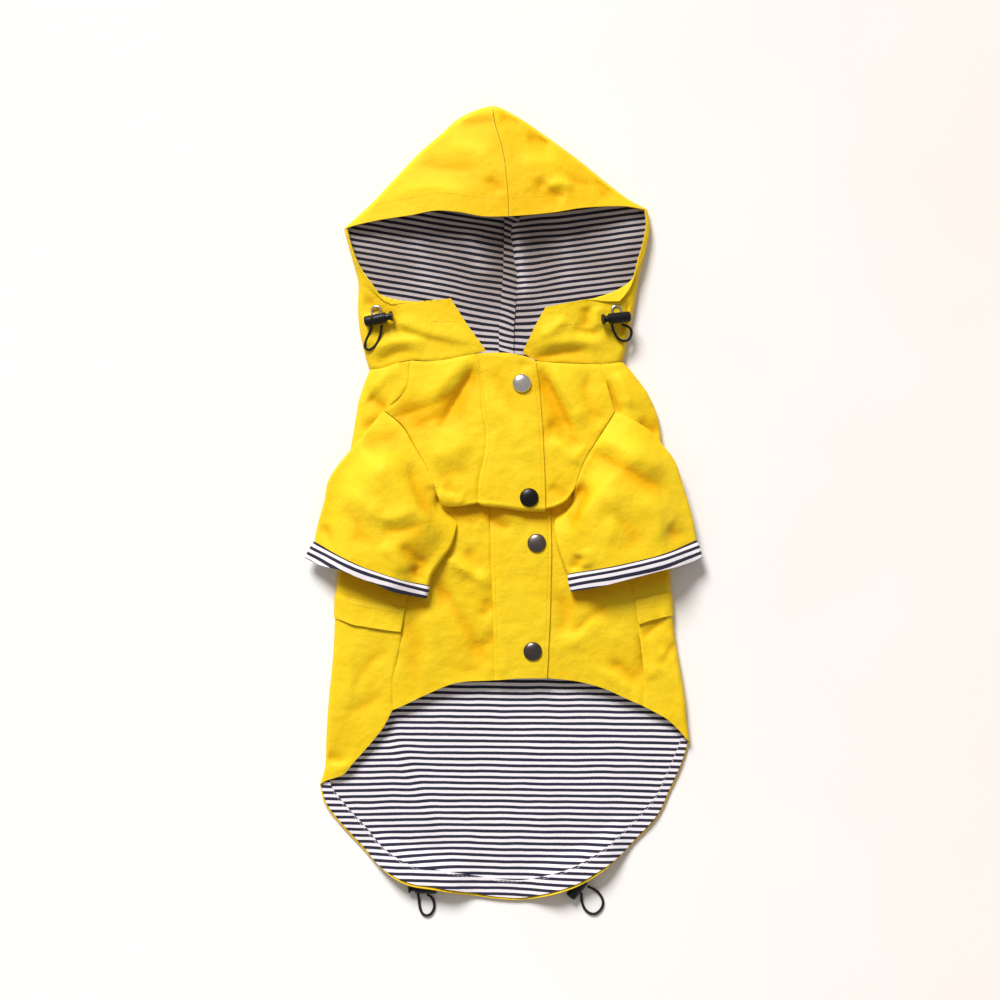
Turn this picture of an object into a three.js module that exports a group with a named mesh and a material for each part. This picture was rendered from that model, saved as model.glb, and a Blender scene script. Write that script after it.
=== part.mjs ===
// A raincoat for a small dog, laid out flat on its back with the hood open, in millimetres.
// +Y runs from the back hem to the tip of the hood, +Z points up from the surface it lies on.
// Every cloth panel starts as a sheet: rows and columns of points on the middle of the cloth.
// A sheet is thickened into a closed wall, and what lies on a sheet is made from its points, moved out.

import * as THREE from 'three';

// ---------------------------------------------------------------- driving dimensions
const WALL = 1.0; // thickness of a cloth wall
const FLOOR = WALL / 2; // height of the middle of cloth that lies on the surface
const NEST = 1.4; // from the middle of one layer to the middle of the next
const SEAM = 0.2; // each edge stops this far short of the seam line
const NECK_SEAM = 0.35; // the same along the neck and the back panel's side edges
const SLEEVE_SEAM = 0.6; // and where a sleeve is set in
const FOLD_RADIUS = 3.5; // of the rounded folds along both sides of the body and the hood
const CORNER_RADIUS = 2.2; // of that fold at the back corners of the hem
const SLOPE = 75; // distance from a side fold over which the upper cloth rises to its full height
const PLEAT_OUTER = 1.1; // radius of the lower fold of the pleat across the chest
const PLACKET_WIDTH = 42;
const PLACKET_UNDERLAP = 17; // how far the right front reaches under the placket
const HEM_FACING = 13.5; // width of the striped band inside the back hem
const HEM_RIM = 1.5; // outer cloth that shows beyond the lining at the hem
const SLEEVE_LOFT = 9; // how far the upper cloth of a sleeve stands off the lower
const CAP_RADIUS = 6.35; // of a press stud's cap
const CORD = 1.8; // diameter of the round elastic

// Heights of the middle of the upper cloth along the centre of the body, at each y.
const CHEST_HEIGHT = [[-20, 20], [0, 20], [40, 19], [70, 17.5], [100, 15.5], [150, 15.5]];
const BELLY_HEIGHT = [[-200, 6], [-145, 8.5], [-120, 9.5], [-90, 11.5], [-40, 13], [20, 12.8]];
const BRIM_HEIGHT = 21; // the hood's upper cloth reaches it above HOOD_BEND, over the length of the bend
const HOOD_BEND = { from: 175, length: 20 };

const YELLOW = { color: 0xf2cb26, roughness: 0.62, metalness: 0 };
const STRIPED = { color: 0xb9b4c0, roughness: 0.85, metalness: 0 };
const BLACK = { color: 0x1b1a1c, roughness: 0.4, metalness: 0 };
const ELASTIC = { color: 0x201f22, roughness: 0.8, metalness: 0 };
const NICKEL = { color: 0x8d8a86, roughness: 0.28, metalness: 1 };

// ---------------------------------------------------------------- outlines, seen from above
// Each side lists its own curves, as x and y, from the hood down to the hem.
const CENTRE_SEAM = [[-8, 270.6], [-6, 257], [-2, 244], [0.5, 232], [1.8, 219], [2.8, 206], [3, 194],
  [2.5, 150], [1, 96.5]];

const SIDES = {
  left: {
    sign: -1,
    crown: [[-8, 270.6], [-19, 267.4], [-31.7, 261], [-42.2, 251.4], [-56, 239.6], [-72.7, 222.3],
      [-90.7, 203.2], [-108.5, 187]],
    brim: [[3, 194], [-14, 194], [-31, 197], [-47, 198], [-64, 195], [-83, 192.6], [-99, 189.5],
      [-107, 187.2]],
    hoodFold: [[-108.5, 187], [-103, 167], [-98.8, 151], [-99, 132], [-97.5, 116], [-93, 97], [-91, 91]],
    rim: [[-107, 187.2], [-102.5, 172], [-97, 159], [-88, 146.6], [-81.5, 138], [-76, 135]],
    collar: [[-76, 135], [-66, 136], [-52, 137], [-36, 139]],
    opening: [[-36, 139], [-26, 123], [-12, 103.3]],
    neck: [[-91, 91], [-83, 92], [-72, 95.5], [-64, 97], [-48, 96.6], [-36, 98], [-20, 101.5],
      [-12, 103.3]],
    shoulder: [[-64, 97], [-66, 79], [-81, 63]],
    armhole: [[-81, 63], [-69, 53], [-60, 38], [-53, 26], [-46, 10.5]],
    underarm: [[-47, 15], [-44, 0.7], [-39, -4.7], [-31.5, -11.6]],
    backArmhole: [[-81, 63], [-90, 44], [-84, 20], [-64, 0], [-32, -12]],
    sideSeam: [[-32, -12], [-50, -36], [-65, -62.7], [-66.4, -70.4]],
    bodyFold: [[-91, 91], [-94.5, 82], [-98.5, 70]],
    bodyFoldMiddle: [[-98.5, 70], [-101, 55], [-105, 30], [-109, -8]],
    bodyFoldLower: [[-109, -8], [-112.5, -40], [-114, -61]],
    bodyFoldHem: [[-114.6, -78], [-116, -104], [-119, -135], [-120.6, -160], [-121.5, -180], [-125, -191.5]],
    seamHem: [[-69.4, -87], [-73, -107], [-76, -122], [-76, -140.5]],
    bellyHem: [[-76, -140.5], [-82, -152], [-95, -168], [-104, -178], [-109, -184], [-123, -189.5],
      [-125, -191.5]],
    frontHem: [[-76, -140.5], [-69, -137.5], [-51, -129], [-33, -122], [-7, -120]],
    sleeveOuter: [[-81, 63], [-103, 37], [-113, 25], [-119, 15], [-121.5, 2], [-126, -14], [-128.4, -26]],
    sleeveInner: [[-31.5, -13], [-34.6, -25], [-37, -31], [-41, -36.5], [-49, -48.5], [-51, -55.4]],
    cuffTop: [[-128.4, -26], [-112, -35], [-95, -43], [-82, -47.5], [-68, -52], [-51, -55.4]],
    cuffOuter: [[-128.4, -26], [-134.6, -37]],
    cuffInner: [[-51, -55.4], [-53, -64]],
    cuffBottom: [[-134.6, -37], [-125, -41.5], [-110.5, -45], [-97.5, -50], [-84.5, -55], [-76, -59],
      [-63, -62], [-53, -64]],
  },
  right: {
    sign: 1,
    crown: [[-8, 270.6], [-4, 269.6], [10.5, 262], [26, 251.5], [50, 234], [69, 218.6], [85, 206.5],
      [97.2, 200]],
    brim: [[3, 194], [17, 195], [35, 197], [52, 200], [69, 201.4], [83, 201.6], [95.6, 199.6]],
    hoodFold: [[97.2, 200], [99, 188], [96, 172], [92, 156], [88, 132], [84, 114], [82, 103], [80, 96.6]],
    rim: [[95.6, 199.6], [96.6, 190], [94.5, 177], [91, 165], [87, 151], [82, 141], [78, 137]],
    collar: [[78, 137], [69, 137], [57, 138], [42, 136], [28, 133]],
    opening: [[28, 133], [21, 120], [12.5, 102.2]],
    neck: [[80, 96.6], [74, 95.2], [66, 94.6], [52, 95], [37, 95.6], [20.7, 97.4], [12.5, 102.2]],
    shoulder: [[66, 94.6], [70, 80], [75, 62]],
    armhole: [[75, 62], [66, 48], [59, 37], [53, 26], [48, 10.5]],
    underarm: [[49, 14], [46, 4], [42, -3], [35.4, -9.5]],
    backArmhole: [[75, 62], [88, 44], [84, 20], [64, 0], [36, -10]],
    sideSeam: [[36, -10], [62, -32], [85, -53], [88.4, -65.5]],
    bodyFold: [[80, 96.6], [87, 89], [97, 76]],
    bodyFoldMiddle: [[97, 76], [104, 60], [107, 40], [110, -4]],
    bodyFoldLower: [[110, -4], [112.5, -36], [113.2, -60]],
    bodyFoldHem: [[114.2, -76], [116, -92], [118.5, -106], [123, -134], [124, -147], [126, -162]],
    seamHem: [[91, -82], [93.4, -100], [94.8, -118], [94.6, -137.6]],
    bellyHem: [[94.6, -137.6], [102, -141.5], [110, -146], [118, -153], [124, -160], [126, -162]],
    frontHem: [[94.6, -137.6], [82, -132], [69, -126], [51, -121], [29, -118.4]],
    sleeveOuter: [[75, 62], [88, 56], [99, 48.5], [107, 40], [116, 28], [121, 13], [127, -7], [130.4, -25]],
    sleeveInner: [[34, -11], [33.5, -18], [35, -26], [39, -37], [43.3, -47.6]],
    cuffTop: [[130.4, -25], [108, -34], [78, -41.5], [43.3, -47.6]],
    cuffOuter: [[130.4, -25], [134.6, -37]],
    cuffInner: [[43.3, -47.6], [45.5, -59.4]],
    cuffBottom: [[134.6, -37], [119, -42], [103, -46], [76, -53], [60, -57], [45.5, -59.4]],
  },
};

// The placket's two long edges, above and below the pleat across the chest.
const PLACKET = {
  seamChest: [[-19, 101.7], [-17, 95], [-16, 69], [-12.4, 42], [-17.5, 14], [-18, 0.3]],
  edgeChest: [[21.4, 96.6], [23.4, 77], [25, 60], [27, 30], [27.9, -3.6]],
  seamBelly: [[-12, 12], [-10, -1], [-9, -40], [-8, -78], [-7, -120]],
  edgeBelly: [[30, 8.4], [31.5, -9], [32, -28], [31, -78], [29, -118.4]],
};
const PLACKET_TOP = [[-19, 101.7], [-3, 102.2], [6, 101.6], [15, 99.6], [21.4, 96.6]];
const CHEST_EDGE = {
  left: [[-46, 10.5], [-44, 3.5], [-40.5, -1], [-31, -1.6], [-18, 0.3]],
  placket: [[-18, 0.3], [0, -1.4], [12, -3.2], [27.9, -3.6]],
  right: [[27.9, -3.6], [35, -1.6], [41, 1.5], [48, 10.5]],
};
// The neck seam of the layer that lies on the surface, from the centre out.
const NECK_UNDER = {
  left: [[1, 96.5], [-22, 96], [-46, 95], [-70, 93.2], [-91, 91]],
  right: [[1, 96.5], [20, 96.6], [40, 96.8], [60, 96.8], [80, 96.6]],
};
const BACK_HEM = [[-125, -191.5], [-122, -204.5], [-112, -218], [-98, -233], [-83, -249], [-66, -259],
  [-47, -262.5], [-24, -266.5], [-3, -269.5], [13.5, -270], [30.5, -266.5], [51, -259.5], [71, -247],
  [88, -231.5], [105, -213], [113, -196], [121, -178], [126, -162]];

// ---------------------------------------------------------------- small helpers
const mix = (a, b, t) => a + (b - a) * t;
const clamp = (t, low = 0, high = 1) => Math.min(high, Math.max(low, t));
const smooth = (t) => clamp(t) ** 2 * (3 - 2 * clamp(t));
const mixPoint = (a, b, t) => [mix(a[0], b[0], t), mix(a[1], b[1], t)];
const gap = (a, b) => Math.hypot(b[0] - a[0], b[1] - a[1]);

// A smooth curve through the rows of a table, run at even speed as t goes from 0 to 1.
function curve(table) {
  const points = table.map(([x, y]) => new THREE.Vector3(x, y, 0));
  const spline = new THREE.CatmullRomCurve3(points, false, 'centripetal');
  return (t) => {
    const p = spline.getPointAt(clamp(t));
    return [p.x, p.y];
  };
}

// A rail is the list of points where the rows of a sheet cross one of its long lines.
// It is made of sections, each a table and the number of rows that it is cut into.
function rail(...sections) {
  const points = [sections[0][0][0]];
  for (const [table, rows] of sections) {
    const along = curve(table);
    for (let k = 1; k <= rows; k += 1) points.push(along(k / rows));
  }
  return points;
}

// The value of a two-column table at x, on straight lines between its rows.
function lookUp(table, x) {
  const last = table.length - 1;
  if (x <= table[0][0]) return table[0][1];
  if (x >= table[last][0]) return table[last][1];
  const k = table.findIndex((row) => row[0] > x);
  return mix(table[k - 1][1], table[k][1], (x - table[k - 1][0]) / (table[k][0] - table[k - 1][0]));
}

// A point inside the patch between two rails, at the fraction t of row number j.
// The first and last rows bend like the two end curves, and the rows between them less and less.
function patchPoint(start, end, first, last, j, t) {
  const rows = start.length - 1;
  const v = j / rows;
  const bend = (edge, a, b) => {
    const on = edge(t);
    const straight = mixPoint(a, b, t);
    return [on[0] - straight[0], on[1] - straight[1]];
  };
  const upper = bend(first, start[0], end[0]);
  const lower = bend(last, start[rows], end[rows]);
  const base = mixPoint(start[j], end[j], t);
  const a = (1 - v) ** 2;
  const b = v ** 2;
  return [base[0] + a * upper[0] + b * lower[0], base[1] + a * upper[1] + b * lower[1]];
}

// ---------------------------------------------------------------- heights
// Lines of the side folds as tables of y and x.
const SIDE_FOLD = {};
for (const [name, side] of Object.entries(SIDES)) {
  const outline = [...side.hoodFold, ...side.bodyFold.slice(1), ...side.bodyFoldMiddle.slice(1),
    ...side.bodyFoldLower.slice(1), ...side.bodyFoldHem];
  SIDE_FOLD[name] = outline.map(([x, y]) => [y, x]).sort((a, b) => a[0] - b[0]);
}
const CORNER = { y: -190, reach: 50 }; // the folds open from the hem's corners over this reach
const foldRadius = (y) => mix(CORNER_RADIUS, FOLD_RADIUS, smooth((y - CORNER.y) / CORNER.reach));
const noseTop = (y) => FLOOR + 2 * foldRadius(y);

// Height of the upper cloth at a distance from the side fold, under a ridge of the given height.
function rise(distance, y, ridge) {
  const s = clamp(distance / SLOPE);
  return noseTop(y) + (ridge - noseTop(y)) * (1 - (1 - s) ** 2);
}

function bodyTop(x, y, ridge) {
  const left = x - lookUp(SIDE_FOLD.left, y);
  const right = lookUp(SIDE_FOLD.right, y) - x;
  return rise(Math.max(0, Math.min(left, right)), y, ridge);
}
const chestTop = (x, y) => bodyTop(x, y, lookUp(CHEST_HEIGHT, y));
const bellyTop = (x, y) => bodyTop(x, y, lookUp(BELLY_HEIGHT, y));

// The strips of back panel on top sink from the chest's height at the shoulder to the belly's at the armpit.
const ARMPIT_Y = -12;
const SHOULDER_DROP = 70; // above the armpit
const stripTop = (x, y) =>
  bodyTop(x, y, mix(lookUp(BELLY_HEIGHT, y), lookUp(CHEST_HEIGHT, y), smooth((y - ARMPIT_Y) / SHOULDER_DROP)));

// The cloth turns round a side fold: its height at the distance d from the outermost line.
const arc = (d, r) => Math.sqrt(Math.max(0, r * r - (r - Math.min(d, r)) ** 2));
const underFold = (d, r) => FLOOR + r - arc(d, r);
const overFold = (d, r) => FLOOR + r + arc(d, r);
const FOLD_STEPS = [0, 0.3, 1]; // distances from the outermost line, in fold radii
const FOLD_SHARE = 0.3; // the most of a row that a fold may take

// Fractions along a row of the given length: the fold's own steps, then even steps to the far end.
function rowSteps(length, radius, even) {
  const steps = FOLD_STEPS.map((step, k) =>
    Math.min((step * radius) / length, (k * FOLD_SHARE) / FOLD_STEPS.length));
  const start = steps[steps.length - 1];
  for (let k = 1; k <= even; k += 1) steps.push(mix(start, 1, k / even));
  return steps;
}

// ---------------------------------------------------------------- sheets and walls
// Unit normals of a sheet: each point takes the mean of the faces that meet there.
// turn is 1 where the columns cross the rows so that the outer face is seen, and -1 where not.
function makeSheet(points, turn) {
  const index = new Map();
  const sums = [];
  const key = (p) => `${Math.round(p.x * 1e3)},${Math.round(p.y * 1e3)},${Math.round(p.z * 1e3)}`;
  const at = (p) => {
    if (!index.has(key(p))) {
      index.set(key(p), sums.length);
      sums.push(new THREE.Vector3());
    }
    return index.get(key(p));
  };
  for (let j = 0; j + 1 < points.length; j += 1) {
    for (let i = 0; i + 1 < points[j].length; i += 1) {
      const corners = [points[j][i], points[j][i + 1], points[j + 1][i + 1], points[j + 1][i]];
      const one = corners[2].clone().sub(corners[0]);
      const two = corners[3].clone().sub(corners[1]);
      const face = one.cross(two);
      if (face.length() < 1e-6) continue;
      face.normalize().multiplyScalar(turn);
      for (const corner of new Set(corners.map(at))) sums[corner].add(face);
    }
  }
  const normals = points.map((row) => row.map((p) => sums[at(p)].clone().normalize()));
  return { points, normals, turn };
}

// Part of a sheet, from one row and column to another, both included.
function cut(sheet, [row0, row1], [col0, col1]) {
  const part = (grid) => grid.slice(row0, row1 + 1).map((row) => row.slice(col0, col1 + 1));
  return { points: part(sheet.points), normals: part(sheet.normals), turn: sheet.turn };
}

// The same sheet with its points moved out of the cloth's face by a distance, or in if negative.
function lifted(sheet, distance) {
  const lift = typeof distance === 'function' ? distance : () => distance;
  const points = sheet.points.map((row, j) => row.map((p, i) =>
    p.clone().addScaledVector(sheet.normals[j][i], lift(i, j))));
  return { points, normals: sheet.normals, turn: sheet.turn };
}

// The named edges held back from their seams.
function heldBack(sheet, edges, distance = SEAM) {
  const points = sheet.points.map((row) => row.map((p) => p.clone()));
  const rows = points.length;
  const cols = points[0].length;
  const pull = (p, next) => {
    const step = next.clone().sub(p);
    if (step.length() > SEAM) p.addScaledVector(step, Math.min(distance / step.length(), 0.5));
  };
  for (let j = 0; j < rows; j += 1) {
    if (edges.includes('start')) pull(points[j][0], points[j][1]);
    if (edges.includes('end')) pull(points[j][cols - 1], points[j][cols - 2]);
  }
  for (let i = 0; i < cols; i += 1) {
    if (edges.includes('first')) pull(points[0][i], points[1][i]);
    if (edges.includes('last')) pull(points[rows - 1][i], points[rows - 2][i]);
  }
  return { points, normals: sheet.normals, turn: sheet.turn };
}

// A closed wall of cloth from a sheet: both faces, and a strip round every free edge.
function wallGeometry(sheet, thickness = WALL, keep = null) {
  const index = new Map();
  const middle = [];
  const rowCount = sheet.points.length;
  const colCount = sheet.points[0].length;
  const at = (j, i) => {
    const p = sheet.points[j][i];
    const key = `${Math.round(p.x * 1e3)},${Math.round(p.y * 1e3)},${Math.round(p.z * 1e3)}`;
    if (!index.has(key)) {
      index.set(key, middle.length);
      middle.push([p, sheet.normals[j][i]]);
    }
    return index.get(key);
  };
  const faces = [];
  const addFace = (a, b, c) => {
    if (a !== b && b !== c && c !== a) faces.push(sheet.turn > 0 ? [a, b, c] : [a, c, b]);
  };
  for (let j = 0; j + 1 < rowCount; j += 1) {
    for (let i = 0; i + 1 < colCount; i += 1) {
      const [a, b, c, d] = [at(j, i), at(j, i + 1), at(j + 1, i + 1), at(j + 1, i)];
      addFace(a, b, c);
      addFace(a, c, d);
    }
  }
  const count = middle.length;
  const positions = [];
  for (const side of [thickness / 2, -thickness / 2]) {
    for (const [p, n] of middle) {
      const q = p.clone().addScaledVector(n, side);
      if (keep) keep(q);
      positions.push(q.x, q.y, q.z);
    }
  }
  const edges = new Set(faces.flatMap(([a, b, c]) => [`${a},${b}`, `${b},${c}`, `${c},${a}`]));
  const triangles = [];
  for (const [a, b, c] of faces) {
    triangles.push(a, b, c, count + a, count + c, count + b);
    for (const [p, q] of [[a, b], [b, c], [c, a]]) {
      if (edges.has(`${q},${p}`)) continue;
      triangles.push(q, p, count + p, q, count + p, count + q);
    }
  }
  const geometry = new THREE.BufferGeometry();
  geometry.setAttribute('position', new THREE.Float32BufferAttribute(positions, 3));
  geometry.setIndex(triangles);
  return geometry;
}

const group = new THREE.Group();
function addMesh(name, geometry, finish, parent = group) {
  const mesh = new THREE.Mesh(geometry, new THREE.MeshStandardMaterial(finish));
  mesh.name = name;
  parent.add(mesh);
  return mesh;
}
const addCloth = (name, sheet, finish, thickness, keep) =>
  addMesh(name, wallGeometry(sheet, thickness, keep), finish);

// ---------------------------------------------------------------- body: the back panel
// One panel runs from the shoulder, armhole and side seam on the left, round the left side fold,
// under the whole coat, and round the right side fold to the same seams on the right.
const BACK_ROWS = { shoulder: 2, armhole: 4, side: 2, flap: 1, hem: 5 };
const BACK_FLAP_ROW = BACK_ROWS.shoulder + BACK_ROWS.armhole + BACK_ROWS.side;
const STRIP_STEPS = 4; // columns across the upper strip at each side
const UNDER_STEPS = 15; // and across the cloth below
const STRIP_COLS = FOLD_STEPS.length + STRIP_STEPS;
const HEM_LIFT = { at: [-55, 51], height: 8.3, share: 0.75, level: 14, reach: 38 };

function sideRails(side) {
  const flapSeam = [side.sideSeam.at(-1), side.seamHem[0]];
  const flapFold = [side.bodyFoldLower.at(-1), side.bodyFoldHem[0]];
  return {
    seam: rail([side.shoulder, BACK_ROWS.shoulder], [side.backArmhole, BACK_ROWS.armhole],
      [side.sideSeam, BACK_ROWS.side], [flapSeam, BACK_ROWS.flap], [side.seamHem, BACK_ROWS.hem]),
    fold: rail([side.bodyFold, BACK_ROWS.shoulder], [side.bodyFoldMiddle, BACK_ROWS.armhole],
      [side.bodyFoldLower, BACK_ROWS.side], [flapFold, BACK_ROWS.flap], [side.bodyFoldHem, BACK_ROWS.hem]),
  };
}
const RAILS = { left: sideRails(SIDES.left), right: sideRails(SIDES.right) };

// Where the shoulder seam meets the neck seam.
const shoulderEnd = (side) => side.neck.findIndex((p) => p[0] === side.shoulder[0][0]);

// The strip of back panel that lies on top, from the side fold (t = 0) to the seam (t = 1).
function stripRow(name, j) {
  const side = SIDES[name];
  const { seam, fold } = RAILS[name];
  const neck = curve(side.neck.slice(0, shoulderEnd(side) + 1));
  const hem = curve([...side.bellyHem].reverse());
  const length = gap(fold[j], seam[j]);
  const radius = foldRadius(fold[j][1]);
  return rowSteps(length, radius, STRIP_STEPS).map((t) => {
    const [x, y] = patchPoint(fold, seam, neck, hem, j, t);
    const d = t * length;
    const z = d < radius ? overFold(d, radius) : stripTop(x, y);
    return new THREE.Vector3(x, y, z);
  });
}

function underRow(j) {
  const neck = curve([...NECK_UNDER.left].reverse().concat(NECK_UNDER.right.slice(1)));
  const hem = curve(BACK_HEM);
  const { left, right } = RAILS;
  const length = gap(left.fold[j], right.fold[j]);
  const steps = rowSteps(length, foldRadius(left.fold[j][1]), UNDER_STEPS).filter((t) => t < 0.99);
  const mirrored = rowSteps(length, foldRadius(right.fold[j][1]), UNDER_STEPS).slice(0, FOLD_STEPS.length);
  const all = [...steps.slice(1), ...mirrored.slice(1).reverse().map((t) => 1 - t)];
  return all.map((t) => {
    const [x, y] = patchPoint(left.fold, right.fold, neck, hem, j, t);
    const d = Math.min(t, 1 - t) * length;
    return new THREE.Vector3(x, y, underFold(d, foldRadius(t < 0.5 ? left.fold[j][1] : right.fold[j][1])));
  });
}

const backPoints = RAILS.left.fold.map((_, j) =>
  [...stripRow('left', j).reverse(), ...underRow(j), ...stripRow('right', j)]);

// One more row marks the top of the hem facing, and the hem stands up over the cord lock at each side.
const hemLine = backPoints.at(-1);
backPoints.splice(-1, 0, hemLine.map((p, i) => {
  const inward = backPoints.at(-2)[i].clone().sub(p);
  return p.clone().addScaledVector(inward, HEM_FACING / inward.length());
}));
for (const [row, share] of [[backPoints.at(-1), 1], [backPoints.at(-2), HEM_LIFT.share]]) {
  for (const p of row.slice(STRIP_COLS, -STRIP_COLS)) {
    const nearest = Math.min(...HEM_LIFT.at.map((x) => Math.abs(p.x - x)));
    p.z += share * HEM_LIFT.height * smooth((HEM_LIFT.reach - nearest) / (HEM_LIFT.reach - HEM_LIFT.level));
  }
}
const back = makeSheet(backPoints, 1);
addCloth('back_panel', heldBack(heldBack(back, ['start', 'end'], NECK_SEAM), ['first'], NECK_SEAM), YELLOW);

// ---------------------------------------------------------------- body: the fronts and the placket
// The two fronts and the placket share one sheet, so that the placket lies true on the right front.
// Below the studs at the chest the cloth is doubled under itself in a pleat.
const FRONT_ROWS = { shoulder: 2, armhole: 5, belly: 7 };
const PLEAT_TURNS = [0, 60, 120, 180].map((degrees) => (degrees * Math.PI) / 180);

function frontColumn(chest, belly) {
  const points = [];
  const last = chest.length - 1;
  const down = chest[last].map((c, k) => (c - chest[last - 1][k]) / gap(chest[last], chest[last - 1]));
  const on = belly[0].map((c, k) => (belly[1][k] - c) / gap(belly[0], belly[1]));
  const top = chestTop(...chest[last]);
  const upper = PLEAT_OUTER;
  const lower = (top - bellyTop(...belly[0])) / 2 - upper;
  chest.slice(0, last).forEach(([x, y]) => points.push(new THREE.Vector3(x, y, chestTop(x, y))));
  for (const turn of PLEAT_TURNS) {
    const back1 = upper * (1 - Math.sin(turn));
    points.push(new THREE.Vector3(chest[last][0] - down[0] * back1, chest[last][1] - down[1] * back1,
      top - upper * (1 - Math.cos(turn))));
  }
  for (const turn of PLEAT_TURNS) {
    const back2 = lower * (1 - Math.sin(turn));
    points.push(new THREE.Vector3(belly[0][0] + on[0] * back2, belly[0][1] + on[1] * back2,
      top - 2 * upper - lower * (1 - Math.cos(turn))));
  }
  belly.slice(1).forEach(([x, y]) => points.push(new THREE.Vector3(x, y, bellyTop(x, y))));
  return points;
}

const frontRail = {
  chest: {
    left: rail([SIDES.left.shoulder, FRONT_ROWS.shoulder], [SIDES.left.armhole, FRONT_ROWS.armhole]),
    seam: rail([PLACKET.seamChest, FRONT_ROWS.shoulder + FRONT_ROWS.armhole]),
    edge: rail([PLACKET.edgeChest, FRONT_ROWS.shoulder + FRONT_ROWS.armhole]),
    right: rail([SIDES.right.shoulder, FRONT_ROWS.shoulder], [SIDES.right.armhole, FRONT_ROWS.armhole]),
  },
  belly: {
    left: rail([SIDES.left.underarm, 2], [SIDES.left.sideSeam, 2],
      [[...SIDES.left.sideSeam.slice(-1), ...SIDES.left.seamHem], FRONT_ROWS.belly - 4]),
    seam: rail([PLACKET.seamBelly, FRONT_ROWS.belly]),
    edge: rail([PLACKET.edgeBelly, FRONT_ROWS.belly]),
    right: rail([SIDES.right.underarm, 2], [SIDES.right.sideSeam, 2],
      [[...SIDES.right.sideSeam.slice(-1), ...SIDES.right.seamHem], FRONT_ROWS.belly - 4]),
  },
};

const bands = [
  { from: 'left', to: 'seam', steps: [0, 0.2, 0.4, 0.6, 0.8, 1],
    neck: [...SIDES.left.neck.slice(shoulderEnd(SIDES.left), -1), PLACKET.seamChest[0]], edge: CHEST_EDGE.left,
    inner: [SIDES.left.underarm[0], [-30, 13], PLACKET.seamBelly[0]], hem: SIDES.left.frontHem },
  { from: 'seam', to: 'edge', steps: [0.14, 1 - PLACKET_UNDERLAP / PLACKET_WIDTH, 0.8, 1],
    neck: PLACKET_TOP, edge: CHEST_EDGE.placket,
    inner: [PLACKET.seamBelly[0], [10, 11], PLACKET.edgeBelly[0]],
    hem: [[-7, -120], [10, -118.6], [29, -118.4]] },
  { from: 'edge', to: 'right', steps: [0.18, 0.38, 0.58, 0.79, 1],
    neck: [[21.4, 96.6], [37, 95.2], [52, 94.7], [66, 94.6]], edge: CHEST_EDGE.right,
    inner: [PLACKET.edgeBelly[0], [40, 12], SIDES.right.underarm[0]],
    hem: [...SIDES.right.frontHem].reverse() },
];

const frontColumns = [];
for (const band of bands) {
  for (const t of band.steps) {
    const column = ({ [band.from]: from, [band.to]: to }, first, last) =>
      from.map((_, j) => patchPoint(from, to, curve(first), curve(last), j, t));
    frontColumns.push(frontColumn(column(frontRail.chest, band.neck, band.edge),
      column(frontRail.belly, band.inner, band.hem)));
  }
}
const frontPoints = frontColumns[0].map((_, j) => frontColumns.map((column) => column[j]));
const front = makeSheet(frontPoints, -1);
const FRONT_COLS = { seam: 5, underlap: 7, edge: 9, last: frontColumns.length - 1 };
const frontLast = frontPoints.length - 1;
const leftSheet = cut(front, [0, frontLast], [0, FRONT_COLS.seam]);
const rightSheet = cut(front, [0, frontLast], [FRONT_COLS.underlap, FRONT_COLS.last]);
addCloth('front_left', heldBack(heldBack(leftSheet, ['start'], SLEEVE_SEAM), ['end', 'first']), YELLOW);
addCloth('front_right', heldBack(heldBack(rightSheet, ['end'], 2 * SLEEVE_SEAM), ['first']), YELLOW);
const placketSheet = cut(front, [0, frontLast], [FRONT_COLS.seam, FRONT_COLS.edge]);
addCloth('placket', heldBack(lifted(placketSheet, (i) => (i === 0 ? 0 : NEST)), ['start', 'first']), YELLOW);

// ---------------------------------------------------------------- inside the back: lining and hem facing
// Both lie on the back panel, made from its points. The lining starts under the belly, where it is still
// seen, and the facing is the band along the hem that the elastic runs in.
const LINING_FIRST_ROW = BACK_FLAP_ROW + BACK_ROWS.flap;
const backLast = backPoints.length - 1;
const underCols = [STRIP_COLS + 1, backPoints[0].length - STRIP_COLS - 2];
const inside = cut(back, [LINING_FIRST_ROW, backLast], underCols);
addCloth('back_lining', heldBack(lifted(inside, -NEST), ['last'], HEM_RIM), STRIPED);
const band = cut(back, [backLast - 1, backLast], underCols);
addCloth('hem_facing', heldBack(lifted(band, -2 * NEST), ['last'], HEM_RIM), STRIPED);

// ---------------------------------------------------------------- pocket flaps
// Each flap is sewn into the side seam and folds round the side of the coat, over the back panel.
const FLAP_LIFT = { top: NEST + 0.1, bottom: NEST + 2.2 };
for (const name of ['left', 'right']) {
  const last = backPoints[0].length - 1;
  const columns = name === 'left' ? [0, STRIP_COLS - 1] : [last - STRIP_COLS + 1, last];
  const strip = cut(back, [BACK_FLAP_ROW, BACK_FLAP_ROW + BACK_ROWS.flap], columns);
  const flap = lifted(strip, (i, j) => (j === 0 ? FLAP_LIFT.top : FLAP_LIFT.bottom));
  addCloth(`pocket_flap_${name}`, heldBack(flap, [name === 'left' ? 'start' : 'end'], 1), YELLOW);
}

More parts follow.
